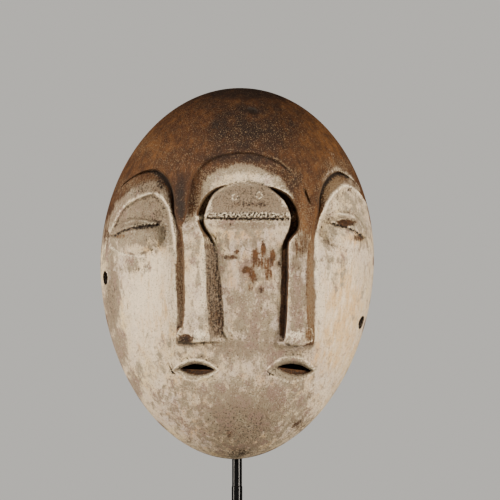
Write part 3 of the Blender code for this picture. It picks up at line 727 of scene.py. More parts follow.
def link(name, mesh):
    """A new object of the scene, made of the mesh."""
    obj = bpy.data.objects.new(name, mesh)
    bpy.context.scene.collection.objects.link(obj)
    return obj


shell = shell_mesh()
clean_mesh(shell)
mask = link("carved_mask", shell)
thin = mask.modifiers.new("Thin out", "DECIMATE")
thin.ratio = MASK_TRIANGLES / len(shell.polygons)
print(f"shell of {len(shell.polygons)} triangles, kept share {thin.ratio:.2f}")

# %% [markdown]
# ## Mouths and tie holes
#
# The two mouths are pointed slots cut right through the face, and a round hole in each side once took the
# cord that tied the mask on. The grid could be left open there, but its edges would be jagged. So each
# opening is a simple solid that a Boolean modifier takes away. The results of all modifiers then become one
# plain mesh.

# %% Cutters
SLOT_STEPS = 16
HOLE_SIDES = 24


def slot_cutter(hole):
    """A pointed oval bar that passes through the face."""
    across, up, half_length, half_height, turn = hole
    (middle_x, middle_z), (reach, rise) = placed([(across, up), (half_length, half_height)])
    along = np.linspace(-1, 1, SLOT_STEPS + 1)
    upper = [(a, SLOT_TOP * (1 - a * a)) for a in along]
    lower = [(a, -SLOT_BOTTOM * (1 - a * a)) for a in along[-2:0:-1]]
    cos, sin = math.cos(turn), math.sin(turn)
    shape = bmesh.new()
    ring = []
    for a, b in upper + lower:
        dx, dz = a * reach, b * rise
        place = (middle_x + cos * dx - sin * dz, RIM_PLANE, CHIN + middle_z + sin * dx + cos * dz)
        ring.append(shape.verts.new(place))
    grown = bmesh.ops.extrude_face_region(shape, geom=[shape.faces.new(ring)])
    moved = [item for item in grown["geom"] if isinstance(item, bmesh.types.BMVert)]
    bmesh.ops.translate(shape, verts=moved, vec=(0, -2 * MASK_DEPTH, 0))
    return shape


def tie_line(place):
    """Middle of a tie hole and its direction, square to the wall, as x, height over the rim's plane and z."""
    x, z = placed(place)
    step = RIM_ROUND / 2
    slope_x = (dome(x + step, z, MASK_DEPTH) - dome(x - step, z, MASK_DEPTH)) / (2 * step)
    slope_z = (dome(x, z + step, MASK_DEPTH) - dome(x, z - step, MASK_DEPTH)) / (2 * step)
    way = np.array([-slope_x, 1, -slope_z])
    return np.array([x, dome(x, z, MASK_DEPTH), z]), way / np.linalg.norm(way)


def tie_cutter(place):
    """A round bar square to the side wall of the mask."""
    middle, way = tie_line(place)
    shape = bmesh.new()
    bmesh.ops.create_cone(shape, cap_ends=True, segments=HOLE_SIDES, radius1=TIE_HOLE / 2,
                          radius2=TIE_HOLE / 2, depth=4 * RIM_WALL)
    turn = Vector((way[0], -way[1], way[2])).to_track_quat("Z", "Y")
    bmesh.ops.rotate(shape, verts=shape.verts, cent=(0, 0, 0), matrix=turn.to_matrix())
    moved = (middle[0], RIM_PLANE - middle[1], CHIN + middle[2])
    bmesh.ops.translate(shape, verts=shape.verts, vec=moved)
    return shape


def as_mesh(name, shape):
    """A bmesh as a mesh of its own, with every face turned outwards."""
    bmesh.ops.recalc_face_normals(shape, faces=shape.faces)
    mesh = bpy.data.meshes.new(name)
    shape.to_mesh(mesh)
    shape.free()
    return mesh


def cutter(shape):
    """A shape as an object that a Boolean can take away."""
    return link("cutter", as_mesh("cutter", shape))


cutters = [cutter(slot_cutter(hole)) for hole in (LEFT_HOLE, RIGHT_HOLE)]
cutters += [cutter(tie_cutter(place)) for place in (LEFT_TIE, RIGHT_TIE)]
print("cutters:", [len(obj.data.vertices) for obj in cutters], "points")

# %% Cut the openings
MASK_SHARP = 50           # degrees; two faces that meet at more than this show a corner


def boolean(obj, operation, other):
    """A Boolean modifier on obj that joins the other object to it or takes it away."""
    made = obj.modifiers.new(operation.title(), "BOOLEAN")
    made.operation = operation
    made.solver = "EXACT"
    made.object = other


def finished(obj):
    """The object with its modifiers applied, as a plain mesh in its place."""
    graph = bpy.context.evaluated_depsgraph_get()
    obj.data = bpy.data.meshes.new_from_object(obj.evaluated_get(graph))
    obj.modifiers.clear()
    return obj


for obj in cutters:
    boolean(mask, "DIFFERENCE", obj)
mask = finished(mask)
for obj in cutters:
    bpy.data.objects.remove(obj)
mask.data.shade_smooth()
mask.data.set_sharp_from_angle(angle=math.radians(MASK_SHARP))
print(f"mask of {sum(len(p.vertices) - 2 for p in mask.data.polygons)} triangles")

# %% [markdown]
# ## Where the paint is worn
#
# Kaolin stays in the open face and wears off the edges, and dirt gathers in the cuts. Some coats are also
# painted shade, in the cuts, creases, slits and holes, under the noses' feet and on the chin, or painted
# highlight, on rims and edges. How much of each coat there is gets stored at every point of the mesh as a
# named attribute, from 0 to 1. It could be painted on by hand, but worked out from the carving it follows
# every line. A share of one half
# means blotches: the material lays a coat only where the share beats a fine noise, so that its edge is
# ragged.
# Stains, worn places, painted shade and painted highlight that follow no rule are soft ovals, put where they
# are seen.

# %% Soft spots
SEEN_ROD = 237            # the spots are placed in columns and rows of a frame of 500 by 500, in which the
SEEN_HALF = 136.6         # mask is seen from the front: the rod's column, half the mask's width, the chin's
SEEN_CHIN = 459           # row and the mask's height
SEEN_TALL = 371
SPOT_EDGE = 3             # power of the fall towards a spot's edge; 2 is softer


def spots(x, z, places):
    """Soft ovals. A place is its column, row, half width, half height and strength."""
    total = np.zeros(np.shape(x))
    for column, row, wide, tall, strength in places:
        middle = ((column - SEEN_ROD) / SEEN_HALF, (SEEN_CHIN - row) / SEEN_TALL)
        (middle_x, middle_z), (reach, rise) = placed([middle, (wide / SEEN_HALF, tall / SEEN_TALL)])
        far = np.hypot((x - middle_x) / reach, (z - middle_z) / rise)
        total = np.maximum(total, strength * np.exp(-(far**SPOT_EDGE)))
    return total


print("a spot from its middle outwards:",
      spots(np.linspace(0, 0.02, 5), np.zeros(5), ((SEEN_ROD, SEEN_CHIN, 12, 12, 1.0),)).round(2))

# %% Stains and worn places
SPOTS = {
    "bare": (
        (255, 255, 4, 8, 0.80), (263, 250, 3, 10, 0.85), (272, 256, 4, 9, 0.75), (279, 263, 4, 5, 0.60),
        (264, 263, 14, 9, 0.62), (247, 270, 7, 4, 0.68), (254, 277, 6, 9, 0.60), (268, 275, 6, 9, 0.64),
        (250, 287, 4, 6, 0.60), (262, 289, 4, 6, 0.52), (230, 257, 9, 3, 0.68), (237, 252, 4, 4, 0.60),
        (262, 308, 4, 4, 0.50), (228, 270, 5, 4, 0.45), (193, 205, 5, 26, 0.40), (310, 214, 7, 30, 1.00),
        (186, 338, 9, 5, 0.90), (150, 190, 22, 8, 0.45), (297, 425, 12, 8, 0.50), (312, 398, 7, 9, 0.36),
        (229, 433, 5, 6, 0.50), (243, 452, 6, 4, 0.50), (121, 236, 8, 4, 0.55), (346, 223, 11, 4, 0.80),
        (358, 238, 8, 4, 0.60), (327, 222, 6, 6, 0.45), (107, 224, 6, 26, 0.56), (353, 186, 8, 10, 0.80),
        (247, 205, 26, 4, 0.50), (247, 224, 26, 3, 0.40), (203, 338, 7, 3, 0.45), (215, 205, 8, 10, 0.40),
        (145, 176, 14, 5, 0.70), (302, 208, 13, 32, 0.90), (301, 245, 10, 26, 0.60),
        (310, 285, 7, 60, 0.68), (309, 334, 6, 9, 0.62), (181, 265, 5, 62, 0.78), (181, 200, 8, 30, 0.95),
        (296, 262, 7, 16, 0.45),
    ),
    # stains, and painted shade on the chin, which faces down
    "stain": (
        (240, 415, 56, 40, 0.54), (112, 300, 9, 50, 0.62), (120, 350, 10, 24, 0.55),
        (134, 385, 12, 18, 0.50), (247, 226, 38, 4, 0.65), (246, 216, 42, 4, 0.60),
        (255, 300, 28, 50, 0.36), (240, 350, 64, 14, 0.42), (300, 420, 18, 16, 0.50),
        (345, 215, 20, 30, 0.15), (325, 262, 10, 10, 0.25), (247, 205, 28, 3, 0.75),
        (240, 197, 30, 3, 0.65), (190, 225, 8, 14, 0.40), (297, 300, 8, 40, 0.45), (240, 240, 40, 12, 0.40),
        (180, 400, 30, 30, 0.35), (300, 390, 26, 30, 0.35), (140, 268, 18, 8, 0.36),
        (135, 197, 26, 12, 0.48), (146, 243, 22, 9, 0.55),
    ),
    "left clay": (
        (330, 156, 20, 10, 0.20), (348, 184, 8, 5, 0.50), (356, 190, 5, 8, 0.50),
    ),
    # mauve clay, and painted shade on the chin
    "mauve": (
        (140, 265, 16, 10, 0.50), (255, 322, 24, 26, 0.55), (265, 347, 26, 10, 0.55),
        (272, 402, 28, 22, 0.58), (236, 396, 22, 14, 0.50), (335, 268, 12, 22, 0.45),
        (331, 240, 12, 14, 0.50), (297, 300, 9, 42, 0.80), (300, 250, 9, 22, 0.50),
        (210, 388, 16, 10, 0.45), (190, 225, 6, 30, 0.30), (160, 219, 10, 9, 0.60), (140, 208, 18, 6, 0.45),
        (247, 197, 42, 18, 0.40), (180, 395, 30, 20, 0.30), (240, 415, 44, 40, 0.62),
        (113, 300, 8, 30, 0.80), (121, 347, 8, 18, 0.75), (134, 385, 9, 14, 0.65), (196, 250, 8, 44, 0.40),
        (197, 320, 9, 14, 0.40), (247, 205, 42, 12, 0.45), (118, 214, 12, 24, 0.90),
        (250, 350, 50, 16, 0.50), (255, 300, 26, 50, 0.45), (220, 262, 9, 30, 0.45),
        (110, 255, 7, 24, 0.45), (290, 400, 26, 24, 0.45), (160, 350, 22, 40, 0.25),
        (247, 224, 34, 5, 0.70),
    ),
    "warm": (
        (342, 312, 18, 56, 0.85), (328, 345, 22, 34, 0.65), (243, 236, 30, 9, 0.60),
        (236, 288, 14, 20, 0.45), (190, 412, 24, 22, 0.45), (240, 440, 34, 14, 0.65),
        (162, 244, 9, 12, 0.50), (200, 350, 14, 8, 0.40), (140, 228, 20, 6, 0.35), (303, 378, 16, 8, 0.40),
        (204, 428, 22, 12, 0.60), (256, 384, 22, 12, 0.50), (228, 345, 22, 10, 0.40),
        (357, 238, 12, 7, 1.00), (250, 272, 22, 24, 0.45), (160, 330, 18, 40, 0.35),
        (150, 246, 22, 7, 0.35), (300, 395, 20, 14, 0.55), (180, 385, 16, 14, 0.45),
    ),
    # dirt, and painted shade: on the chin, under the noses' feet, under the left brow, in the corners of the
    # left eye, at the top of the moat and on the middle lid
    "dirt_and_shade": (
        (237, 452, 16, 6, 0.50), (189, 441, 8, 4, 0.40), (212, 300, 7, 46, 0.42), (209, 262, 7, 20, 0.42),
        (181, 205, 6, 22, 0.40), (183, 337, 7, 3, 0.55), (128, 227, 12, 3, 0.40),
        (144, 226.5, 16, 4.2, 0.80), (340, 224, 16, 2.5, 0.50), (174, 371, 4, 4, 0.60),
        (271, 373, 6, 3, 0.60), (240, 428, 22, 16, 0.22), (246, 216, 42, 4.0, 0.66),
        (240, 425, 46, 28, 0.30), (240, 340, 60, 20, 0.14), (215, 195, 8, 12, 0.30), (136, 269, 9, 2, 0.50),
        (252, 111, 6, 3, 0.85), (220, 126, 9, 7, 0.45), (247, 204, 28, 3, 0.42), (159, 215, 8, 8, 0.40),
        (184, 339, 7, 4, 0.45), (247, 196, 42, 20, 0.32), (162, 184, 6, 8, 0.55), (148, 205, 12, 8, 0.24),
        (112, 300, 8, 44, 0.30), (197, 357, 26, 4, 0.30), (291, 353, 26, 4, 0.26), (240, 240, 50, 16, 0.12),
        (138, 192, 30, 10, 0.30), (152, 241, 15, 7, 0.34),
    ),
    # paler clay, and a painted highlight on each cheek
    "pale": (
        (153, 300, 27, 62, 1.10), (334, 300, 22, 70, 0.80), (165, 380, 20, 30, 0.45),
        (247, 180, 38, 6, 0.25), (318, 395, 16, 30, 0.40), (196, 280, 8, 60, 0.50),
        (340, 245, 20, 14, 0.70), (150, 262, 26, 10, 0.50), (330, 205, 14, 16, 0.40),
    ),
    # crumbs of old clay, and painted highlights on the thin edges beside the noses
    "chalk_and_highlight": (
        (247, 180, 34, 6, 0.30), (201, 218, 5, 3, 0.70), (295, 215, 7, 4, 0.80), (200, 335, 8, 7, 0.45),
        (296, 335, 8, 5, 0.50), (137, 192, 14, 6, 0.25), (284, 198, 3, 9, 0.60), (210, 205, 3, 8, 0.45),
        (168, 232, 5, 14, 0.30), (316, 270, 3, 60, 0.55), (176, 275, 2, 50, 0.50), (246, 215, 42, 3, 0.50),
        (204, 280, 3, 50, 0.35),
    ),
    # darker wood, and painted shade at the top of the forehead, under the step of the arch and under the left
    # nose's foot
    "dark": (
        (240, 92, 60, 12, 0.95), (222, 126, 12, 9, 0.85), (256, 112, 16, 9, 0.90), (252, 128, 50, 28, 0.85),
        (285, 125, 18, 24, 0.60), (205, 135, 16, 14, 0.35), (290, 180, 12, 14, 0.40),
        (181, 196, 6, 24, 0.95), (185, 340, 8, 4, 0.70), (240, 105, 60, 12, 0.60), (243, 159, 44, 6, 0.75),
    ),
    "dust": (
        (337, 166, 17, 8, 0.50), (247, 170, 46, 6, 0.50), (205, 182, 8, 16, 0.50), (290, 178, 9, 12, 0.40),
        (140, 187, 28, 9, 0.55), (175, 160, 22, 12, 0.20), (250, 140, 60, 24, 0.14),
        (334, 192, 16, 20, 1.00), (303, 250, 12, 70, 0.50), (212, 285, 9, 60, 0.62),
        (140, 145, 24, 14, 0.25), (181, 290, 6, 60, 0.70), (208, 200, 16, 16, 0.80),
        (207, 228, 12, 12, 0.80), (311, 290, 7, 60, 0.85),
    ),
    # orange-brown wood, and a painted highlight on each side of the forehead
    "orange": (
        (325, 140, 26, 34, 0.40), (306, 215, 12, 40, 0.50), (311, 290, 7, 55, 0.70),
        (263, 262, 24, 22, 0.35), (338, 190, 20, 14, 0.50), (122, 236, 9, 5, 0.90), (310, 334, 8, 10, 0.90),
        (152, 150, 26, 24, 0.30), (229, 433, 6, 6, 0.80), (181, 270, 5, 60, 0.30),
    ),
}
print({name: len(places) for name, places in SPOTS.items()})

# %% Where each coat begins and ends
ARCH_BROWN = (0.0045, 0.0160)      # the arched band turns from brown to clay over this distance
ARCH_CLAY = 0.95                   # how much of the brown is gone there
ARCH_STAIN = (0.0120, 0.0045)      # where the clay next to the brown is stained grey, and how wide
WALL_BAND = (0.10, 0.24)           # share of the wall's thickness over which the paint gives way to bare wood
BROW_SHADE = (0.60, 0.82)           # share of the way to the brow from which the cut is painted dark, as painted shade under the brow
LEFT_BARE = (0.12, 0.70)           # slanted cut that is brown, as a share of the way to the brow
RIGHT_BARE = (0.02, 0.35)
MOUTH_BARE = (-0.10, 0.15)
LIP_GREY = (0.05, 0.30)
LIP_DIRT = (0.08, 0.40)
PIT_FOOT = (0.312, 0.342)          # the brown of the moat fades between these heights
ANY = (0, 0.2)                     # a zone counts as fully there from a share of 0.2


def ridge(value, at, wide):
    """1 where the value is at, and 0 where it is further from that than about twice wide."""
    return np.exp(-(((value - at) / wide) ** 2))


def by_side(name, value, left):
    """A field for the left and one for the right of the middle eye."""
    return {"left " + name: value * left, "right " + name: value * (1 - left)}


def rough_slope(zones, z):
    """How much of the rough slope beside the left nose there is."""
    share = z / MASK_HEIGHT
    return zones["pit"] * zones["left of middle"] * (1 - smooth(SLOPE_BAND, share)) * smooth(PIT_FOOT, share)


def wood_fields(u, v, zones):
    """Places where the brown wood shows or has stained the clay."""
    from_arch = distance(curve(ARCH), u, v)
    band = zones["ribbon"] * smooth(ARCH_BAND, v / MASK_HEIGHT)
    slope = rough_slope(zones, v)
    moat = zones["pit"] * (1 - mounds(u, v)) * smooth(PIT_FOOT, v / MASK_HEIGHT)
    clay = smooth(ARCH_BROWN, from_arch)
    slots = [smooth(MOUTH_BARE, lens(hole, u, v)) for hole in (LEFT_HOLE, RIGHT_HOLE)]
    return {
        "forehead": zones["forehead"], "brown arch": band * (1 - ARCH_CLAY * clay), "clay arch": band * clay,
        "stained arch": band * ridge(from_arch, *ARCH_STAIN), "mouths": np.maximum(*slots),
        "rough slope": slope, "moat floor": moat * (1 - slope),
        "left cut": smooth(LEFT_BARE, zones["left slant"]),
        "right cut": smooth(RIGHT_BARE, zones["right slant"]),
        **by_side("moat", moat, zones["left of middle"]),
    }


sample = np.array([MIDDLE_X, 0.0]), np.array([MIDDLE, MASK_HEIGHT - RIM_WALL])
print("forehead in the middle and at the top:", wood_fields(*sample, carve(*sample)[1])["forehead"])

# %% Eyes, lines and lips
LINE_HIGHLIGHT = 0.0007                # half width of the painted highlight, a pale line on the rims of the sockets and under the lid creases
LINE_DIRT_AND_SHADE = 0.0016                 # half width of the dirt and painted shade in the slits between the lids, and of the painted shadow under the noses' feet
SLIT_GAIN = 1.2
UNEVEN = (0.00195, 0.55, 0.75)     # thin lines are broken up: size of their gaps, mean and swing
LIP_RIM = (0.03, 0.07)             # where on the lips their pale rim lies, and how wide it is
RINGS = ((-0.015, 0.704), (0.161, 0.709))          # two small rings of paint on the middle lid
RING_SIZE = (0.0023, 0.0005)
ARCH_PALE = ((0.183, 0.823), (0.300, 0.804), (0.380, 0.780))        # a pale line of old clay over the arch
BROW_PALE = ((0.630, 0.752), (0.675, 0.772), (0.747, 0.780), (0.840, 0.758))
BROW_DUST = 0.0026
CRESCENT = (1.10, 0.07)            # painted highlight, a pale line on the edge round the lower left of the left eye: its size and its width
CRESCENT_AT = ((122, 250, 26, 15, 0.60),)


def eye_fields(x, z, u, v, zones):
    """The cuts under the brows and the eyes in their hollows, with painted shade under the inner brows and
    round the eyeballs, a painted highlight under the left eye, and the large lid.
    """
    left = zones["left of middle"]
    cuts = np.maximum(zones["left slant"], zones["right slant"])
    size = np.minimum(np.hypot(*oval(LEFT_EYE, u, v)), np.hypot(*oval(RIGHT_EYE, u, v)))
    ring = ridge(size, *EYE_RING[:2]) * (1 - smooth(ANY, cuts))
    inner = 1 - smooth(UNDERCUT_BAND, np.abs(u - MIDDLE_X) * 2 / MASK_WIDTH)
    inner = inner * smooth(UNDERCUT_FALL, v / MASK_HEIGHT)
    brow = smooth(BROW_SHADE, cuts)
    lid = np.clip(1 - np.hypot(*oval(MIDDLE_LID, u, v)) ** 2, 0, 1) * (v > MIDDLE_SLIT[1][1] * MASK_HEIGHT)
    return {
        "cuts": smooth(ANY, cuts), "lid": smooth(ANY, lid), "inner brow": inner * brow,
        "outer brow": (1 - inner) * smooth(HOLLOW_BAND, v / MASK_HEIGHT) * brow,
        "crescent": ridge(size, *CRESCENT) * spots(x, z, CRESCENT_AT),
        **by_side("eye ring", ring, left), **by_side("eye hollow", zones["eye hollow"], left),
    }


def line_fields(x, z, u, v):
    """Thin lines: dirt and painted shade in the slits and under the noses' feet, painted highlights on the
    sockets' rims and under the lid creases, lines of clay, the lips and the rings that were painted on the
    lid.
    """
    size, mean, swing = UNEVEN
    uneven = mean + swing * lumps(x, z, size, SEEDS["uneven dirt"])
    slits = np.clip(line_share((LEFT_SLIT, RIGHT_SLIT), LINE_DIRT_AND_SHADE, u, v) * uneven * SLIT_GAIN, 0, 1)
    creases = (LEFT_CREASE[1:], RIGHT_CREASE[1:])
    lips = [lens(lip, u, v) for lip in (LEFT_LIPS, RIGHT_LIPS)]
    radius, wide = RING_SIZE
    rings = [ridge(np.hypot(x - across, z - up), radius, wide) for across, up in placed(RINGS)]
    return {
        "slits": np.maximum(slits, line_share((MIDDLE_SLIT,), LINE_DIRT_AND_SHADE, u, v) * uneven),
        "nose feet": line_share(NOSE_FEET, LINE_DIRT_AND_SHADE, u, v) * uneven,
        "rims": line_share((LEFT_RIM[:-1], RIGHT_RIM[:-1]), LINE_HIGHLIGHT, u, v) * uneven,
        "lid lines": line_share(creases, LINE_HIGHLIGHT, u, v + LINE_DIRT_AND_SHADE) * uneven,
        "pale brow": line_share((BROW_PALE,), BROW_DUST, u, v),
        "pale arch": line_share((ARCH_PALE,), wide, u, v), "rings": np.maximum(*rings),
        "lip rims": np.maximum(*(ridge(share, *LIP_RIM) for share in lips)),
        "grey lips": np.maximum(*(smooth(LIP_GREY, share) for share in lips)),
        "dirty lips": np.maximum(*(smooth(LIP_DIRT, share) for share in lips)),
    }


print("the rings on the lid are", round(2 * RING_SIZE[0] * MM, 1), "mm wide")

# %% Shares of each coat
COATS = {                  # a coat is the strongest of some fields, each times its share, less some others
    "pale": ({"pale spots": 1}, {}),
    "dark": ({"dark spots": 1}, {}),
    "warm": ({"warm spots": 1}, {}),
    "bare": ({"forehead": 1, "brown arch": 1, "mouths": 1, "rough slope": 0.5, "moat floor": 0.9,
              "left cut": 0.72, "right cut": 0.95, "bare spots": 1},
             {"left clay spots": 1, "pale brow": 0.52}),
    # stain, grey and the dirt coat are partly painted shade: round the eyeballs, in the eye hollows, on the
    # middle lid, in the moat beside the right nose, in the slits, under the noses' feet and under the inner
    # brows
    "stain": ({"bare": 0.9, "cuts": 0.72, "lid": 1, "left eye ring": 0.4, "right eye ring": 0.4,
               "rough slope": 1, "left eye hollow": 0.48, "stain spots": 1}, {"pale": 0.15}),
    "mauve": ({"mauve spots": 1, "cuts": 0.75}, {"pale": 0.18}),
    "grey": ({"mauve spots": 0.8, "cuts": 0.6, "left eye hollow": 0.90, "right eye hollow": 0.22, "lid": 1,
              "stained arch": 0.8, "grey lips": 0.85}, {"pale": 0.3}),
    "orange": ({"orange spots": 1, "mouths": 0.3}, {}),
    "dust": ({"dust spots": 1, "pale arch": 1, "clay arch": 0.6}, {}),
    "dirt_and_shade": ({"left moat": 0.04, "right moat": 0.40, "rough slope": 0.3, "slits": 1, "nose feet": 0.8,
               "inner brow": 0.95, "left eye hollow": 0.15, "right eye hollow": 0.15, "dirty lips": 0.36,
               "left eye ring": 0.18, "right eye ring": 0.08, "dirt_and_shade spots": 1}, {"outer brow": 0.4}),
    # the chalk coat is partly painted highlight: pale lines on the sockets' rims, under the lid creases and
    # round the lower left of the left eye
    "chalk_and_highlight": ({"rims": 0.6, "lid lines": 0.45, "lip rims": 0.2, "rings": 0.9, "crescent": 1,
               "chalk_and_highlight spots": 1}, {}),
}


def coats(x, z, depth):
    """Every coat's share at points x across, z up from the chin and depth in front of the rim's plane."""
    u, v = wavered(x, z)
    height, zones = carve(u, v)
    fields = {**wood_fields(u, v, zones), **eye_fields(x, z, u, v, zones), **line_fields(x, z, u, v)}
    for name, places in SPOTS.items():
        fields[name + " spots"] = spots(x, z, places)
    for name, (most, less) in COATS.items():
        strongest = np.maximum.reduce([share * fields[part] for part, share in most.items()])
        fields[name] = strongest - sum(share * fields[part] for part, share in less.items())
    wall = np.maximum(height - dome(x, z, HOLLOW_DEPTH, RIM_WALL), RIM_ROUND)
    found = {name: fields[name] for name in COATS}
    found["inside"] = smooth(WALL_BAND, (height - depth) / wall)
    return found


def on_mask(items, name):
    """The places of points or faces as x across, z up from the chin and depth in front of the rim's plane."""
    place = np.empty(len(items) * 3)
    items.foreach_get(name, place)
    x, y, z = place.reshape(-1, 3).T
    return x, z - CHIN, RIM_PLANE - y


def store(mesh, name, values, domain="POINT"):
    """Keeps the values on the mesh under a name that a material can read."""
    made = mesh.attributes.new(name, "FLOAT", domain)
    made.data.foreach_set("value", np.ascontiguousarray(values, np.float32))


for name, values in coats(*on_mask(mask.data.vertices, "co")).items():
    store(mask.data, name, values)
    print(f"{name}: mean {values.mean():.2f}")

# %% Creases, edges and the walls of the tie holes
BEND_FULL = 300.0          # a bend this sharp, in 1/m, counts as 1
BEND_ROUNDS = 2            # how often the bend is evened out between neighbours
SKIN = 0.0002              # a face whose middle is this near to a tie hole lies in its wall


def bend(mesh):
    """How sharply the surface bends at each point: above 0 in a crease, below 0 on an edge."""
    count = len(mesh.vertices)
    place = np.empty(count * 3)
    mesh.vertices.foreach_get("co", place)
    normal = np.empty(count * 3)
    mesh.vertex_normals.foreach_get("vector", normal)
    place, normal = place.reshape(-1, 3), normal.reshape(-1, 3)
    ends = np.empty(len(mesh.edges) * 2, np.int32)
    mesh.edges.foreach_get("vertices", ends)
    a, b = ends.reshape(-1, 2).T
    way = place[b] - place[a]
    squared = np.maximum((way**2).sum(1), TINY)
    degree = np.maximum(np.bincount(a, minlength=count) + np.bincount(b, minlength=count), 1)
    rise_a, rise_b = (way * normal[a]).sum(1) / squared, -(way * normal[b]).sum(1) / squared
    value = (np.bincount(a, rise_a, count) + np.bincount(b, rise_b, count)) / degree
    for _ in range(BEND_ROUNDS):
        near = (np.bincount(a, value[b], count) + np.bincount(b, value[a], count)) / degree
        value = (value + near) / 2
    return np.clip(value / BEND_FULL, -1, 1)


def tie_walls(x, z, depth):
    """1 on the walls of the tie holes."""
    found = np.zeros(np.shape(x))
    for place in (LEFT_TIE, RIGHT_TIE):
        middle, way = tie_line(place)
        offset = np.stack([x, depth, z], -1) - middle
        from_line = np.linalg.norm(offset - (offset @ way)[..., None] * way, axis=-1)
        found = np.maximum(found, from_line < TIE_HOLE / 2 + SKIN)
    return found


in_holes = tie_walls(*on_mask(mask.data.polygons, "center"))
store(mask.data, "bend", bend(mask.data))
# the walls of the tie holes are later coloured near-black as painted shade
store(mask.data, "hole", in_holes, "FACE")
print(int(in_holes.sum()), "faces in the walls of the tie holes")

# %% [markdown]
# ## Kaolin on wood
#
# One material holds the whole history of the surface. Kaolin is a matt white clay, laid on with water, that
# has turned cream, grey and in places ochre: it scatters light and hardly shines, so its roughness is near 1.
# The wood under it is brown from handling and a little glossier, with fibres that run up and down. Each coat
# is mixed over the last one where its share beats a noise. Sizes of the noises are real ones, in millimetres:
# a scale of 1000 divided by 5 gives lumps of about 5 mm, and a scale below 1 along the fibres draws them out.
# To the eye this gives chalky flakes with ragged edges over a wood that shines through where it is rubbed.
# Some coats are painted shade in the cuts, creases and holes, and painted highlight on rims and edges.

# %% Colours and grains
KAOLIN = "#c6b28a"
KAOLIN_LILAC = "#b4a69d"
KAOLIN_GREY = "#887c67"
CLAY_MAUVE = "#826d60"
CLAY_PORE = "#5f4f3f"
CLAY_STAINED = "#7c6d5b"
CLAY_OCHRE = "#c4a06f"
CLAY_PALE = "#dccbb0"
# pale, for crumbs of chalky clay and for painted highlights
CHALK_AND_HIGHLIGHT = "#e2d6bc"
WOOD_BROWN = "#452913"
WOOD_RED = "#341c0b"
WOOD_ORANGE = "#6c4722"
WOOD_DARK = "#1e1008"
WOOD_DUST = "#6e5c45"
# near-black, for dirt and for painted shade
DIRT_AND_SHADE_COLOUR = "#221912"
RAW_WOOD = "#6b4529"
RAW_DARK = "#321d11"
GRAINS = {                 # size of the lumps in mm, detail, its roughness, scale along the fibres
    "broad": (34, 5, 0.60, 0.8), "patch": (12, 9, 0.68, 0.8), "flake": (7.5, 8, 0.66, 0.9),
    "fine": (1.5, 4, 0.65, 1.0), "speck": (0.9, 2, 0.50, 1.0), "fibre": (1.3, 5, 0.60, 0.07),
    "streak": (5.0, 7, 0.70, 0.25), "blotch": (4.5, 6, 0.62, 0.7),
}
BLENDS = {                 # two grains in one, with the share of the second
    "smeared": ("flake", "streak", 0.4), "jagged": ("fine", "fibre", 0.5),
    "ragged": ("patch", "jagged", 0.62),
}
GRAIN_SPAN = (0.34, 0.66)  # the part of a noise's range that is used, stretched to 0 to 1
CLAY_COATS = (             # colour, attribute, its gain and base, gain of the bend, grain, softness of edge
    (CLAY_PALE, "pale", 1.0, 0.05, 0, "flake", 0.60),
    (CLAY_OCHRE, "warm", 0.7, 0.06, 0, "streak", 0.50),
    (KAOLIN_GREY, "grey", 0.8, 0.34, 0, "smeared", 0.16),
    (CLAY_MAUVE, "mauve", 0.66, 0.10, 0, "patch", 0.14),
    (CLAY_STAINED, "stain", 1.0, 0.04, 0, "blotch", 0.24),
    (CHALK_AND_HIGHLIGHT, "chalk_and_highlight", 1.0, 0.10, -0.6, "fine", 0.30),
    (CLAY_PORE, "grey", 0.16, 0.08, 0, "speck", 0.15),
)
WOOD_COATS = (
    (WOOD_ORANGE, "orange", 1.0, 0.0, 0, "streak", 0.80),
    (WOOD_DARK, "dark", 1.0, 0.05, 0, "patch", 0.70),
    (WOOD_DUST, "dust", 0.8, 0.01, 0, "speck", 0.16),
)
# dirt, with painted shade in the cuts and creases where the bend is high
FACE_DIRT_AND_SHADE = ((DIRT_AND_SHADE_COLOUR, "dirt_and_shade", 1.0, 0.0, 0.55, "fine", 0.35),)
# painted shade, near-black, on the walls of the tie holes
HOLE_SHADE = ((DIRT_AND_SHADE_COLOUR, "hole", 1.4, -0.4, 0, "fine", 0.35),)
BARE_EDGE = 0.15
print(len(CLAY_COATS), "coats of clay,", len(WOOD_COATS), "of wood; finest grain",
      min(size for size, *_ in GRAINS.values()), "mm")

# %% Helpers for layered colours
def new_material(name):
    """A material with its tree and its shader."""
    made = bpy.data.materials.new(name)
    made.use_nodes = True
    return made, made.node_tree, made.node_tree.nodes["Principled BSDF"]


def grain_sockets(tree):
    """Each grain as a socket from 0 to 1, evenly spread."""
    place = add(tree, "ShaderNodeTexCoord").outputs["Object"]
    made = {}
    for name, (size, detail, rough, stretch) in GRAINS.items():
        drawn = add(tree, "ShaderNodeMapping", {"Vector": place, "Scale": (1, 1, stretch)})
        grain = add(tree, "ShaderNodeTexNoise", {
            "Vector": drawn.outputs["Vector"], "Scale": MM / size, "Detail": detail, "Roughness": rough})
        spread = add(tree, "ShaderNodeMapRange", {
            "Value": grain.outputs["Fac"], "From Min": GRAIN_SPAN[0], "From Max": GRAIN_SPAN[1]})
        made[name] = spread.outputs["Result"]
    for name, (one, other, share) in BLENDS.items():
        made[name] = add(tree, "ShaderNodeMix", {0: share, 2: made[one], 3: made[other]}).outputs[0]
    return made


def coat(tree, under, over, share, grain, edge):
    """Lays one colour over another where share beats a grain; edge is how soft the border is."""
    beat = add(tree, "ShaderNodeMath", {0: share, 1: grain}, operation="SUBTRACT").outputs[0]
    cover = add(tree, "ShaderNodeMapRange", {"Value": beat, "From Min": -edge, "From Max": edge},
                interpolation_type="SMOOTHSTEP").outputs["Result"]
    mixed = add(tree, "ShaderNodeMix", {0: cover, 6: under, 7: over}, data_type="RGBA")
    return mixed.outputs[2], cover


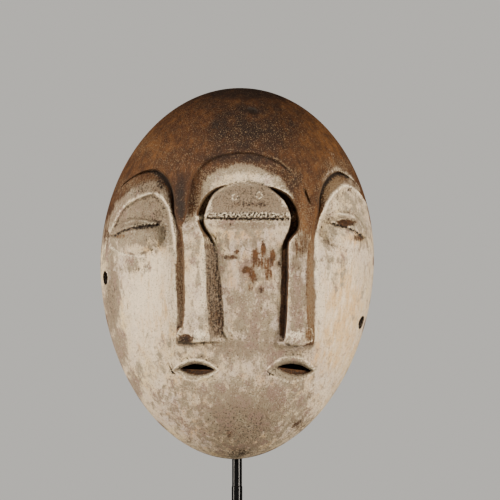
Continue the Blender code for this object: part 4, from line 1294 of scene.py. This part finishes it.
def stored(tree, name, gain=1.0, base=0.0):
    """An attribute of the mesh, times gain, plus base."""
    value = add(tree, "ShaderNodeAttribute", attribute_name=name).outputs["Fac"]
    return add(tree, "ShaderNodeMath", {0: value, 1: gain, 2: base}, operation="MULTIPLY_ADD").outputs[0]


def lay_coats(tree, under, rows, grain):
    """Lays coats over one another. The bend lays more of the pale coat on edges, as a painted highlight, and
    more dirt into creases, with painted shade.
    """
    for code, name, gain, base, bend_gain, kind, edge in rows:
        share = stored(tree, name, gain, base)
        if bend_gain:
            share = stored(tree, "bend", bend_gain, share)
        under, _ = coat(tree, under, colour(code), share, grain[kind], edge)
    return under


print("grains:", ", ".join([*GRAINS, *BLENDS]))

# %% Painted wood
DRY_SHINE = 0.22           # clay and unpolished wood reflect less than a plain glossy surface, at 0.5
CLAY_ROUGH = 0.92
WOOD_ROUGH = 0.66
CLAY_THICK = 0.0004        # the clay ends in a small step on the wood
CLAY_STEP = -1.2           # that step against the height of the pores, which is 1
STEP_STRENGTH = 0.8


def surface(tree, shader, bare, grain):
    """Roughness and fine bumps: clay is matt and stands a little over the wood, and both have pores."""
    shine = add(tree, "ShaderNodeMapRange", {"Value": bare, "To Min": CLAY_ROUGH, "To Max": WOOD_ROUGH})
    pores = add(tree, "ShaderNodeMath", {0: grain["fine"], 1: grain["fibre"]}, operation="ADD")
    edge = add(tree, "ShaderNodeMath", {0: bare, 1: CLAY_STEP, 2: pores.outputs[0]},
               operation="MULTIPLY_ADD")
    bump = add(tree, "ShaderNodeBump", {
        "Height": edge.outputs[0], "Strength": STEP_STRENGTH, "Distance": CLAY_THICK})
    tree.links.new(shine.outputs["Result"], shader.inputs["Roughness"])
    tree.links.new(bump.outputs["Normal"], shader.inputs["Normal"])
    shader.inputs["Specular IOR Level"].default_value = DRY_SHINE


def painted_wood():
    """Clay over wood where it has not worn off, dirt and painted shade over both, raw wood in the hollow, and
    painted shade in the tie holes.
    """
    made, tree, shader = new_material("kaolin_painted_wood")
    grain = grain_sockets(tree)
    clay = add(tree, "ShaderNodeMix", {0: grain["broad"], 6: colour(KAOLIN), 7: colour(KAOLIN_LILAC)},
               data_type="RGBA").outputs[2]
    wood = add(tree, "ShaderNodeMix", {0: grain["fibre"], 6: colour(WOOD_BROWN), 7: colour(WOOD_RED)},
               data_type="RGBA").outputs[2]
    clay = lay_coats(tree, clay, CLAY_COATS, grain)
    wood = lay_coats(tree, wood, WOOD_COATS, grain)
    face, bare = coat(tree, clay, wood, stored(tree, "bare"), grain["ragged"], BARE_EDGE)
    face = lay_coats(tree, face, FACE_DIRT_AND_SHADE, grain)
    raw = add(tree, "ShaderNodeMix", {0: grain["streak"], 6: colour(RAW_WOOD), 7: colour(RAW_DARK)},
              data_type="RGBA").outputs[2]
    whole = add(tree, "ShaderNodeMix", {0: stored(tree, "inside"), 6: face, 7: raw}, data_type="RGBA")
    whole = lay_coats(tree, whole.outputs[2], HOLE_SHADE, grain)
    tree.links.new(whole, shader.inputs["Base Color"])
    surface(tree, shader, bare, grain)
    return made


mask.data.materials.clear()
mask.data.materials.append(painted_wood())
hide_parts("mask")
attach(mask, "root")
print(mask.name, "has", len(mask.data.materials[0].node_tree.nodes), "nodes in its material")

# %% [markdown]
# ## Black steel and black wood
#
# The bars and the rod are mild steel under a gloss black lacquer, which shows as two long highlights on the
# round rod. Handling has left it a little hazy in places. The block is beech stained black: satin, with a
# trace of grain that runs across it.

# %% Finishes of the stand
LACQUER = "#0b0b0c"
LACQUER_ROUGH = (0.05, 0.12)       # where it is clean and where it is hazy
HAZE_MM = 20
HAZE_DETAIL = 4
BEECH_STAIN = "#171412"
BEECH_WORN = "#2e2621"
BEECH_ROUGH = 0.42
BEECH_GRAIN_MM = 2.5
BEECH_DETAIL = 6
BEECH_STRETCH = 0.05
BEECH_PORES = (0.25, 0.0003)       # strength and depth


def gloss_black_lacquer():
    """Hard and glossy, so that it mirrors the lamps as lines, and a little hazy where it was handled."""
    made, tree, shader = new_material("gloss_black_lacquer")
    place = add(tree, "ShaderNodeTexCoord").outputs["Object"]
    haze = add(tree, "ShaderNodeTexNoise", {"Vector": place, "Scale": MM / HAZE_MM, "Detail": HAZE_DETAIL})
    shine = add(tree, "ShaderNodeMapRange", {
        "Value": haze.outputs["Fac"], "To Min": LACQUER_ROUGH[0], "To Max": LACQUER_ROUGH[1]})
    shader.inputs["Base Color"].default_value = colour(LACQUER)
    tree.links.new(shine.outputs["Result"], shader.inputs["Roughness"])
    return made


def black_stained_beech():
    """Satin, with fine pores that run across the block and a trace of brown where the stain is thin."""
    made, tree, shader = new_material("black_stained_beech")
    place = add(tree, "ShaderNodeTexCoord").outputs["Object"]
    drawn = add(tree, "ShaderNodeMapping", {"Vector": place, "Scale": (BEECH_STRETCH, 1, 1)})
    grain = add(tree, "ShaderNodeTexNoise", {
        "Vector": drawn.outputs["Vector"], "Scale": MM / BEECH_GRAIN_MM, "Detail": BEECH_DETAIL})
    mixed = add(tree, "ShaderNodeMix", {
        0: grain.outputs["Fac"], 6: colour(BEECH_STAIN), 7: colour(BEECH_WORN)}, data_type="RGBA")
    bump = add(tree, "ShaderNodeBump", {
        "Height": grain.outputs["Fac"], "Strength": BEECH_PORES[0], "Distance": BEECH_PORES[1]})
    tree.links.new(mixed.outputs[2], shader.inputs["Base Color"])
    tree.links.new(bump.outputs["Normal"], shader.inputs["Normal"])
    shader.inputs["Roughness"].default_value = BEECH_ROUGH
    return made


lacquer, beech = gloss_black_lacquer(), black_stained_beech()
print(lacquer.name, "and", beech.name)

# %% [markdown]
# ## The stand
#
# A flat bar of steel goes up behind the face and is hooked over inside the forehead. A second one is welded
# across it and bent forward at both ends between the cheeks. A round rod carries them from a block of wood.
# A bevelled curve could make such a bar, but it twists at the bends. So a small Geometry Nodes tree bends it:
# it sweeps a rectangle with rounded corners along a path whose sideways direction is given, and its inputs
# are the bar's width, thickness and rounding. A Boolean then joins the two bars as the weld does.

# %% Sizes of the stand
ROD_DIAMETER = 0.008
ROD_ROUND = 0.0005
SHOULDER_DROP = 0.022     # from the chin down to the thicker stretch
ROD_TOP_AT = 0.330        # this and the next three are shares of the mask's height over its chin
CROSSBAR_AT = 0.240
UPRIGHT_FROM = 0.075
HOOK_AT = 0.880
STRIP_WIDTH = 0.014
STRIP_THICKNESS = 0.003
STRIP_ROUND = 0.0005
BEND_RADIUS = 0.012
PRONG_REACH = 0.025       # from the rim's plane to the tips of the crossbar
WELD_LAP = 0.0005         # how deep the two bars lie in each other where they are welded
GAP = 0.0003
WOOD_GAP = 0.0006
BLOCK_BEVEL = 0.0025
BEVEL_STEPS = 4
ARC_STEPS = 16
ROD_SIDES = 64
STAND_SHARP = 30          # degrees, as for the mask
print(f"rod {ROD_DIAMETER * MM:.0f} mm, thicker stretch {ROD_SHOULDER * MM:.1f} mm")

# %% Nodes that bend a flat bar
SIZES = {"Width": STRIP_WIDTH, "Thickness": STRIP_THICKNESS, "Rounding": STRIP_ROUND}


def bar_tree(finish):
    """A tree that turns a path into a flat bar, and the identifiers of its inputs by name."""
    tree = bpy.data.node_groups.new("bent flat bar", "GeometryNodeTree")
    tree.interface.new_socket("Path", in_out="INPUT", socket_type="NodeSocketGeometry")
    inputs = {}
    for name in (*SIZES, "Across"):
        kind = "NodeSocketVector" if name == "Across" else "NodeSocketFloat"
        inputs[name] = tree.interface.new_socket(name, in_out="INPUT", socket_type=kind).identifier
    tree.interface.new_socket("Bar", in_out="OUTPUT", socket_type="NodeSocketGeometry")
    given = add(tree, "NodeGroupInput").outputs
    path = add(tree, "GeometryNodeMeshToCurve", {0: given["Path"]}).outputs[0]
    path = add(tree, "GeometryNodeSetCurveNormal", {"Curve": path, "Normal": given["Across"]}, mode="FREE")
    section = add(tree, "GeometryNodeCurvePrimitiveQuadrilateral", {
        "Width": given["Width"], "Height": given["Thickness"]}).outputs[0]
    section = add(tree, "GeometryNodeFilletCurve", {
        "Curve": section, "Radius": given["Rounding"], "Count": ROUND_STEPS - 1}, mode="POLY")
    bar = add(tree, "GeometryNodeCurveToMesh", {
        "Curve": path.outputs[0], "Profile Curve": section.outputs[0], "Fill Caps": True}).outputs[0]
    whole = add(tree, "GeometryNodeRealizeInstances", {"Geometry": bar}).outputs[0]
    coated = add(tree, "GeometryNodeSetMaterial", {"Geometry": whole, "Material": finish}).outputs[0]
    add(tree, "NodeGroupOutput", {0: coated})
    return tree, inputs


def flat_bar(name, path, across, tree, inputs):
    """A flat bar bent along a row of points, its width in the direction across."""
    mesh = bpy.data.meshes.new(name)
    mesh.from_pydata(path, [(i, i + 1) for i in range(len(path) - 1)], [])
    bar = link(name, mesh)
    sweep = bar.modifiers.new("Sweep", "NODES")
    sweep.node_group = tree
    for size, value in {**SIZES, "Across": across}.items():
        sweep[inputs[size]] = value
    return finished(bar)


bending, bar_inputs = bar_tree(lacquer)
print("inputs of the bending tree:", sorted(bar_inputs))

# %% Upright with its hook
FRONT_OF_ROD = ROD_BACK - ROD_DIAMETER / 2 - GAP


def arc(middle, radius, start, end):
    """Points on an arc between two angles in degrees."""
    turns = np.radians(np.linspace(start, end, ARC_STEPS + 1))
    return [(middle[0] + radius * math.cos(t), middle[1] + radius * math.sin(t)) for t in turns]


def make_upright():
    """The bar from behind the chin to the forehead, where it turns forward."""
    upright_y = FRONT_OF_ROD - STRIP_THICKNESS / 2
    hook_z = HOOK_AT * MASK_HEIGHT
    tip = dome(STRIP_WIDTH / 2, hook_z + STRIP_THICKNESS / 2, HOLLOW_DEPTH, RIM_WALL) - WOOD_GAP
    turn = arc((upright_y - BEND_RADIUS, CHIN + hook_z - BEND_RADIUS), BEND_RADIUS, 0, 90)
    path = [(upright_y, CHIN + UPRIGHT_FROM * MASK_HEIGHT), *turn, (RIM_PLANE - tip, CHIN + hook_z)]
    return flat_bar("steel_cradle", [(0, a, b) for a, b in path], (1, 0, 0), bending, bar_inputs)


cradle = make_upright()
print(f"upright {cradle.dimensions.z * MM:.0f} mm tall, its hook {cradle.dimensions.y * MM:.0f} mm deep")

# %% Crossbar and weld
def hollow_half(z, depth):
    """Half the width of the hollow at height z, at a depth from the rim's plane."""
    share = (1 - (depth / HOLLOW_DEPTH) ** 2) ** (1 / DOME_POWER)
    rise = (MIDDLE - z) / (MIDDLE - RIM_WALL)
    side = (share**CHIN_POWER - rise**CHIN_POWER) ** (1 / CHIN_POWER)
    return side * (MASK_WIDTH / 2 - RIM_WALL)


def make_crossbar():
    """The bar in front of the upright, bent forward at both ends so that it lies between the cheeks."""
    bar_z = CROSSBAR_AT * MASK_HEIGHT
    lower_edge = bar_z - STRIP_WIDTH / 2
    bar_y = FRONT_OF_ROD - STRIP_THICKNESS - STRIP_THICKNESS / 2 + WELD_LAP
    drift = LEAN * (lower_edge - MASK_HEIGHT / 2)
    half = hollow_half(lower_edge, PRONG_REACH) - STRIP_THICKNESS / 2 - WOOD_GAP
    corner_y = bar_y - BEND_RADIUS
    left = arc((-half + BEND_RADIUS, corner_y), BEND_RADIUS, 180, 90)
    right = arc((half - BEND_RADIUS, corner_y), BEND_RADIUS, 90, 0)
    tip_y = RIM_PLANE - PRONG_REACH
    path = [(a + drift, b, CHIN + bar_z) for a, b in [(-half, tip_y), *left, *right, (half, tip_y)]]
    return flat_bar("crossbar", path, (0, 0, 1), bending, bar_inputs)


crossbar = make_crossbar()
print(f"crossbar {crossbar.dimensions.x * MM:.0f} mm wide")
boolean(cradle, "UNION", crossbar)
cradle = finished(cradle)
bpy.data.objects.remove(crossbar)

# %% [markdown]
# ## Rod and block
#
# The rod is a round bar, a little thicker in its lower stretch, which stands in the block. A cylinder
# would need its shoulder and its rounded top added. Rings of points about the rod's line, as a lathe would
# cut them, give all of it from a few radii. The block is sawn wood: a cube with its edges broken by a bevel
# and a bore that a Boolean drills.

# %% Rod
def turned(name, profile):
    """A round piece about the rod's line, from (radius, height) pairs from top to bottom."""
    turns = np.arange(ROD_SIDES) * 2 * math.pi / ROD_SIDES
    shape = bmesh.new()
    rings = []
    for radius, z in profile:
        circle = [(radius * math.cos(t), ROD_BACK + radius * math.sin(t)) for t in turns]
        rings.append([shape.verts.new((a, b, z)) for a, b in circle])
    for high, low in zip(rings[:-1], rings[1:]):
        for i in range(ROD_SIDES):
            shape.faces.new((high[i - 1], high[i], low[i], low[i - 1]))
    shape.faces.new(rings[0])
    shape.faces.new(rings[-1][::-1])
    return link(name, as_mesh(name, shape))


def make_rod():
    """The rod with its rounded top and its thicker lower stretch, down into the block."""
    radius, thick = ROD_DIAMETER / 2, ROD_SHOULDER / 2
    top = CHIN + ROD_TOP_AT * MASK_HEIGHT
    shoulder = CHIN - SHOULDER_DROP
    rounded = [(radius - ROD_ROUND * (1 - math.sin(t)), top - ROD_ROUND * (1 - math.cos(t)))
               for t in np.linspace(0, math.pi / 2, ROUND_STEPS + 1)]
    profile = [*rounded, (radius, shoulder), (thick, shoulder - ROD_ROUND), (thick, rod_low.z)]
    return turned("steel_rod", profile)


rod = make_rod()
print(f"rod {rod.dimensions.z * MM:.0f} mm long")

# %% Block
def make_block():
    """A block with broken edges and a bore for the rod."""
    shape = bmesh.new()
    bmesh.ops.create_cube(shape, size=1)
    bmesh.ops.scale(shape, verts=shape.verts, vec=block_high - block_low)
    bmesh.ops.translate(shape, verts=shape.verts, vec=(block_low + block_high) / 2)
    made = link("wood_block", as_mesh("wood_block", shape))
    bevel = made.modifiers.new("Broken edges", "BEVEL")
    bevel.width = BLOCK_BEVEL
    bevel.segments = BEVEL_STEPS
    bore_radius = ROD_SHOULDER / 2 + GAP
    bore = turned("bore", [(bore_radius, block_high.z + ROD_DIAMETER), (bore_radius, rod_low.z - GAP)])
    boolean(made, "DIFFERENCE", bore)
    made = finished(made)
    bpy.data.objects.remove(bore)
    return made


block = make_block()
print("block", " x ".join(f"{side * MM:.0f}" for side in block.dimensions), "mm")

# %% Finish the stand
for piece, node, slot, finish in (
        (cradle, "cradle", "black_steel", lacquer), (rod, "rod", "black_steel", lacquer),
        (block, "block", "black_wood", beech)):
    piece.data.materials.clear()
    piece.data.materials.append(finish)
    piece.data.shade_smooth()
    piece.data.set_sharp_from_angle(angle=math.radians(STAND_SHARP))
    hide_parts(node)
    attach(piece, "root")
    print(piece.name, len(piece.data.polygons), "faces")

# %% [markdown]
# ## Floor, light and camera
#
# The stand rests on a plain pale floor of smooth plaster, which scatters light evenly and shows no glint.
# A tall soft lamp stands on each side of the mask, the left one further round, so that cheeks and edges are
# bright and the cuts between the noses stay dark. An upright rod mirrors only what stands at its own height,
# so two small panels low down give it its two long highlights. A pale surround fills the shadows a little.
# The camera looks level at the mask from the front, from far enough away that near and far parts of it come
# out at the same scale.

# %% Floor
FLOOR_RADIUS = 1.5
FLOOR_SIDES = 128
FLOOR_COLOUR = "#d9d6d0"
FLOOR_ROUGH = 0.9
shape = bmesh.new()
bmesh.ops.create_circle(shape, cap_ends=True, segments=FLOOR_SIDES, radius=FLOOR_RADIUS)
floor_mesh = bpy.data.meshes.new("floor")
shape.to_mesh(floor_mesh)
shape.free()
floor = link("floor", floor_mesh)
plaster, _, plaster_shader = new_material("smooth_plaster")
plaster_shader.inputs["Base Color"].default_value = colour(FLOOR_COLOUR)
plaster_shader.inputs["Roughness"].default_value = FLOOR_ROUGH
floor_mesh.materials.append(plaster)
print(f"floor {2 * FLOOR_RADIUS:.0f} m wide")

# %% Lamps
LAMPS = {                  # degrees to the right, degrees up, distance, width, height, watts
    "right": (53, 13, 2.2, 0.6, 0.9, 90), "left": (-66, 11, 2.2, 0.9, 0.9, 101),
    "low right": (51, -3, 2.2, 0.4, 0.3, 8), "low left": (-78, -3, 2.2, 0.4, 0.3, 5),
}
LAMP_COLOUR = colour("#fff5e8")[:3]
LAMP_AIM = Vector((0, 0, CHIN + MIDDLE))


def add_lamp(name, right, up, away, wide, tall, watts):
    """A rectangular lamp that faces the middle of the mask."""
    lamp = bpy.data.lights.new(name, "AREA")
    lamp.shape = "RECTANGLE"
    lamp.size = wide
    lamp.size_y = tall
    lamp.color = LAMP_COLOUR
    lamp.energy = watts
    obj = bpy.data.objects.new(name, lamp)
    a, e = math.radians(right), math.radians(up)
    way = Vector((math.sin(a) * math.cos(e), -math.cos(a) * math.cos(e), math.sin(e)))
    obj.location = LAMP_AIM + way * away
    obj.rotation_euler = way.to_track_quat("Z", "Y").to_euler()
    bpy.context.scene.collection.objects.link(obj)


for name, values in LAMPS.items():
    add_lamp(name, *values)
print("lamps:", ", ".join(f"{name} {values[-1]} W" for name, values in LAMPS.items()))

# %% Surround
SURROUND = "#c9c6c0"
SURROUND_SEEN = 1.0
SURROUND_LIGHT = 0.04
world = bpy.data.worlds.new("surround")
world.use_nodes = True
bpy.context.scene.world = world
background = world.node_tree.nodes["Background"]
background.inputs["Color"].default_value = colour(SURROUND)
seen = add(world.node_tree, "ShaderNodeLightPath").outputs["Is Camera Ray"]
strength = add(world.node_tree, "ShaderNodeMapRange", {
    "Value": seen, "To Min": SURROUND_LIGHT, "To Max": SURROUND_SEEN})
world.node_tree.links.new(strength.outputs["Result"], background.inputs["Strength"])
print("the surround lights with", SURROUND_LIGHT, "of what the camera sees of it")

# %% Camera
FRAME_SIDE = 0.4043        # what the picture takes in at the rim's plane
CAMERA_AWAY = 8.0
CAMERA_X = 0.0105
CAMERA_ABOVE_CHIN = 0.169
SENSOR_MM = 36
SIGHT = 50                 # metres; nothing lies further away
camera_data = bpy.data.cameras.new("camera")
camera_data.sensor_width = SENSOR_MM
camera_data.lens = SENSOR_MM * CAMERA_AWAY / FRAME_SIDE
camera_data.clip_end = SIGHT
camera = bpy.data.objects.new("camera", camera_data)
camera.location = (CAMERA_X, RIM_PLANE - CAMERA_AWAY, CHIN + CAMERA_ABOVE_CHIN)
camera.rotation_euler = (math.pi / 2, 0, 0)
bpy.context.scene.collection.objects.link(camera)
bpy.context.scene.camera = camera
print(f"lens of {camera_data.lens:.0f} mm")
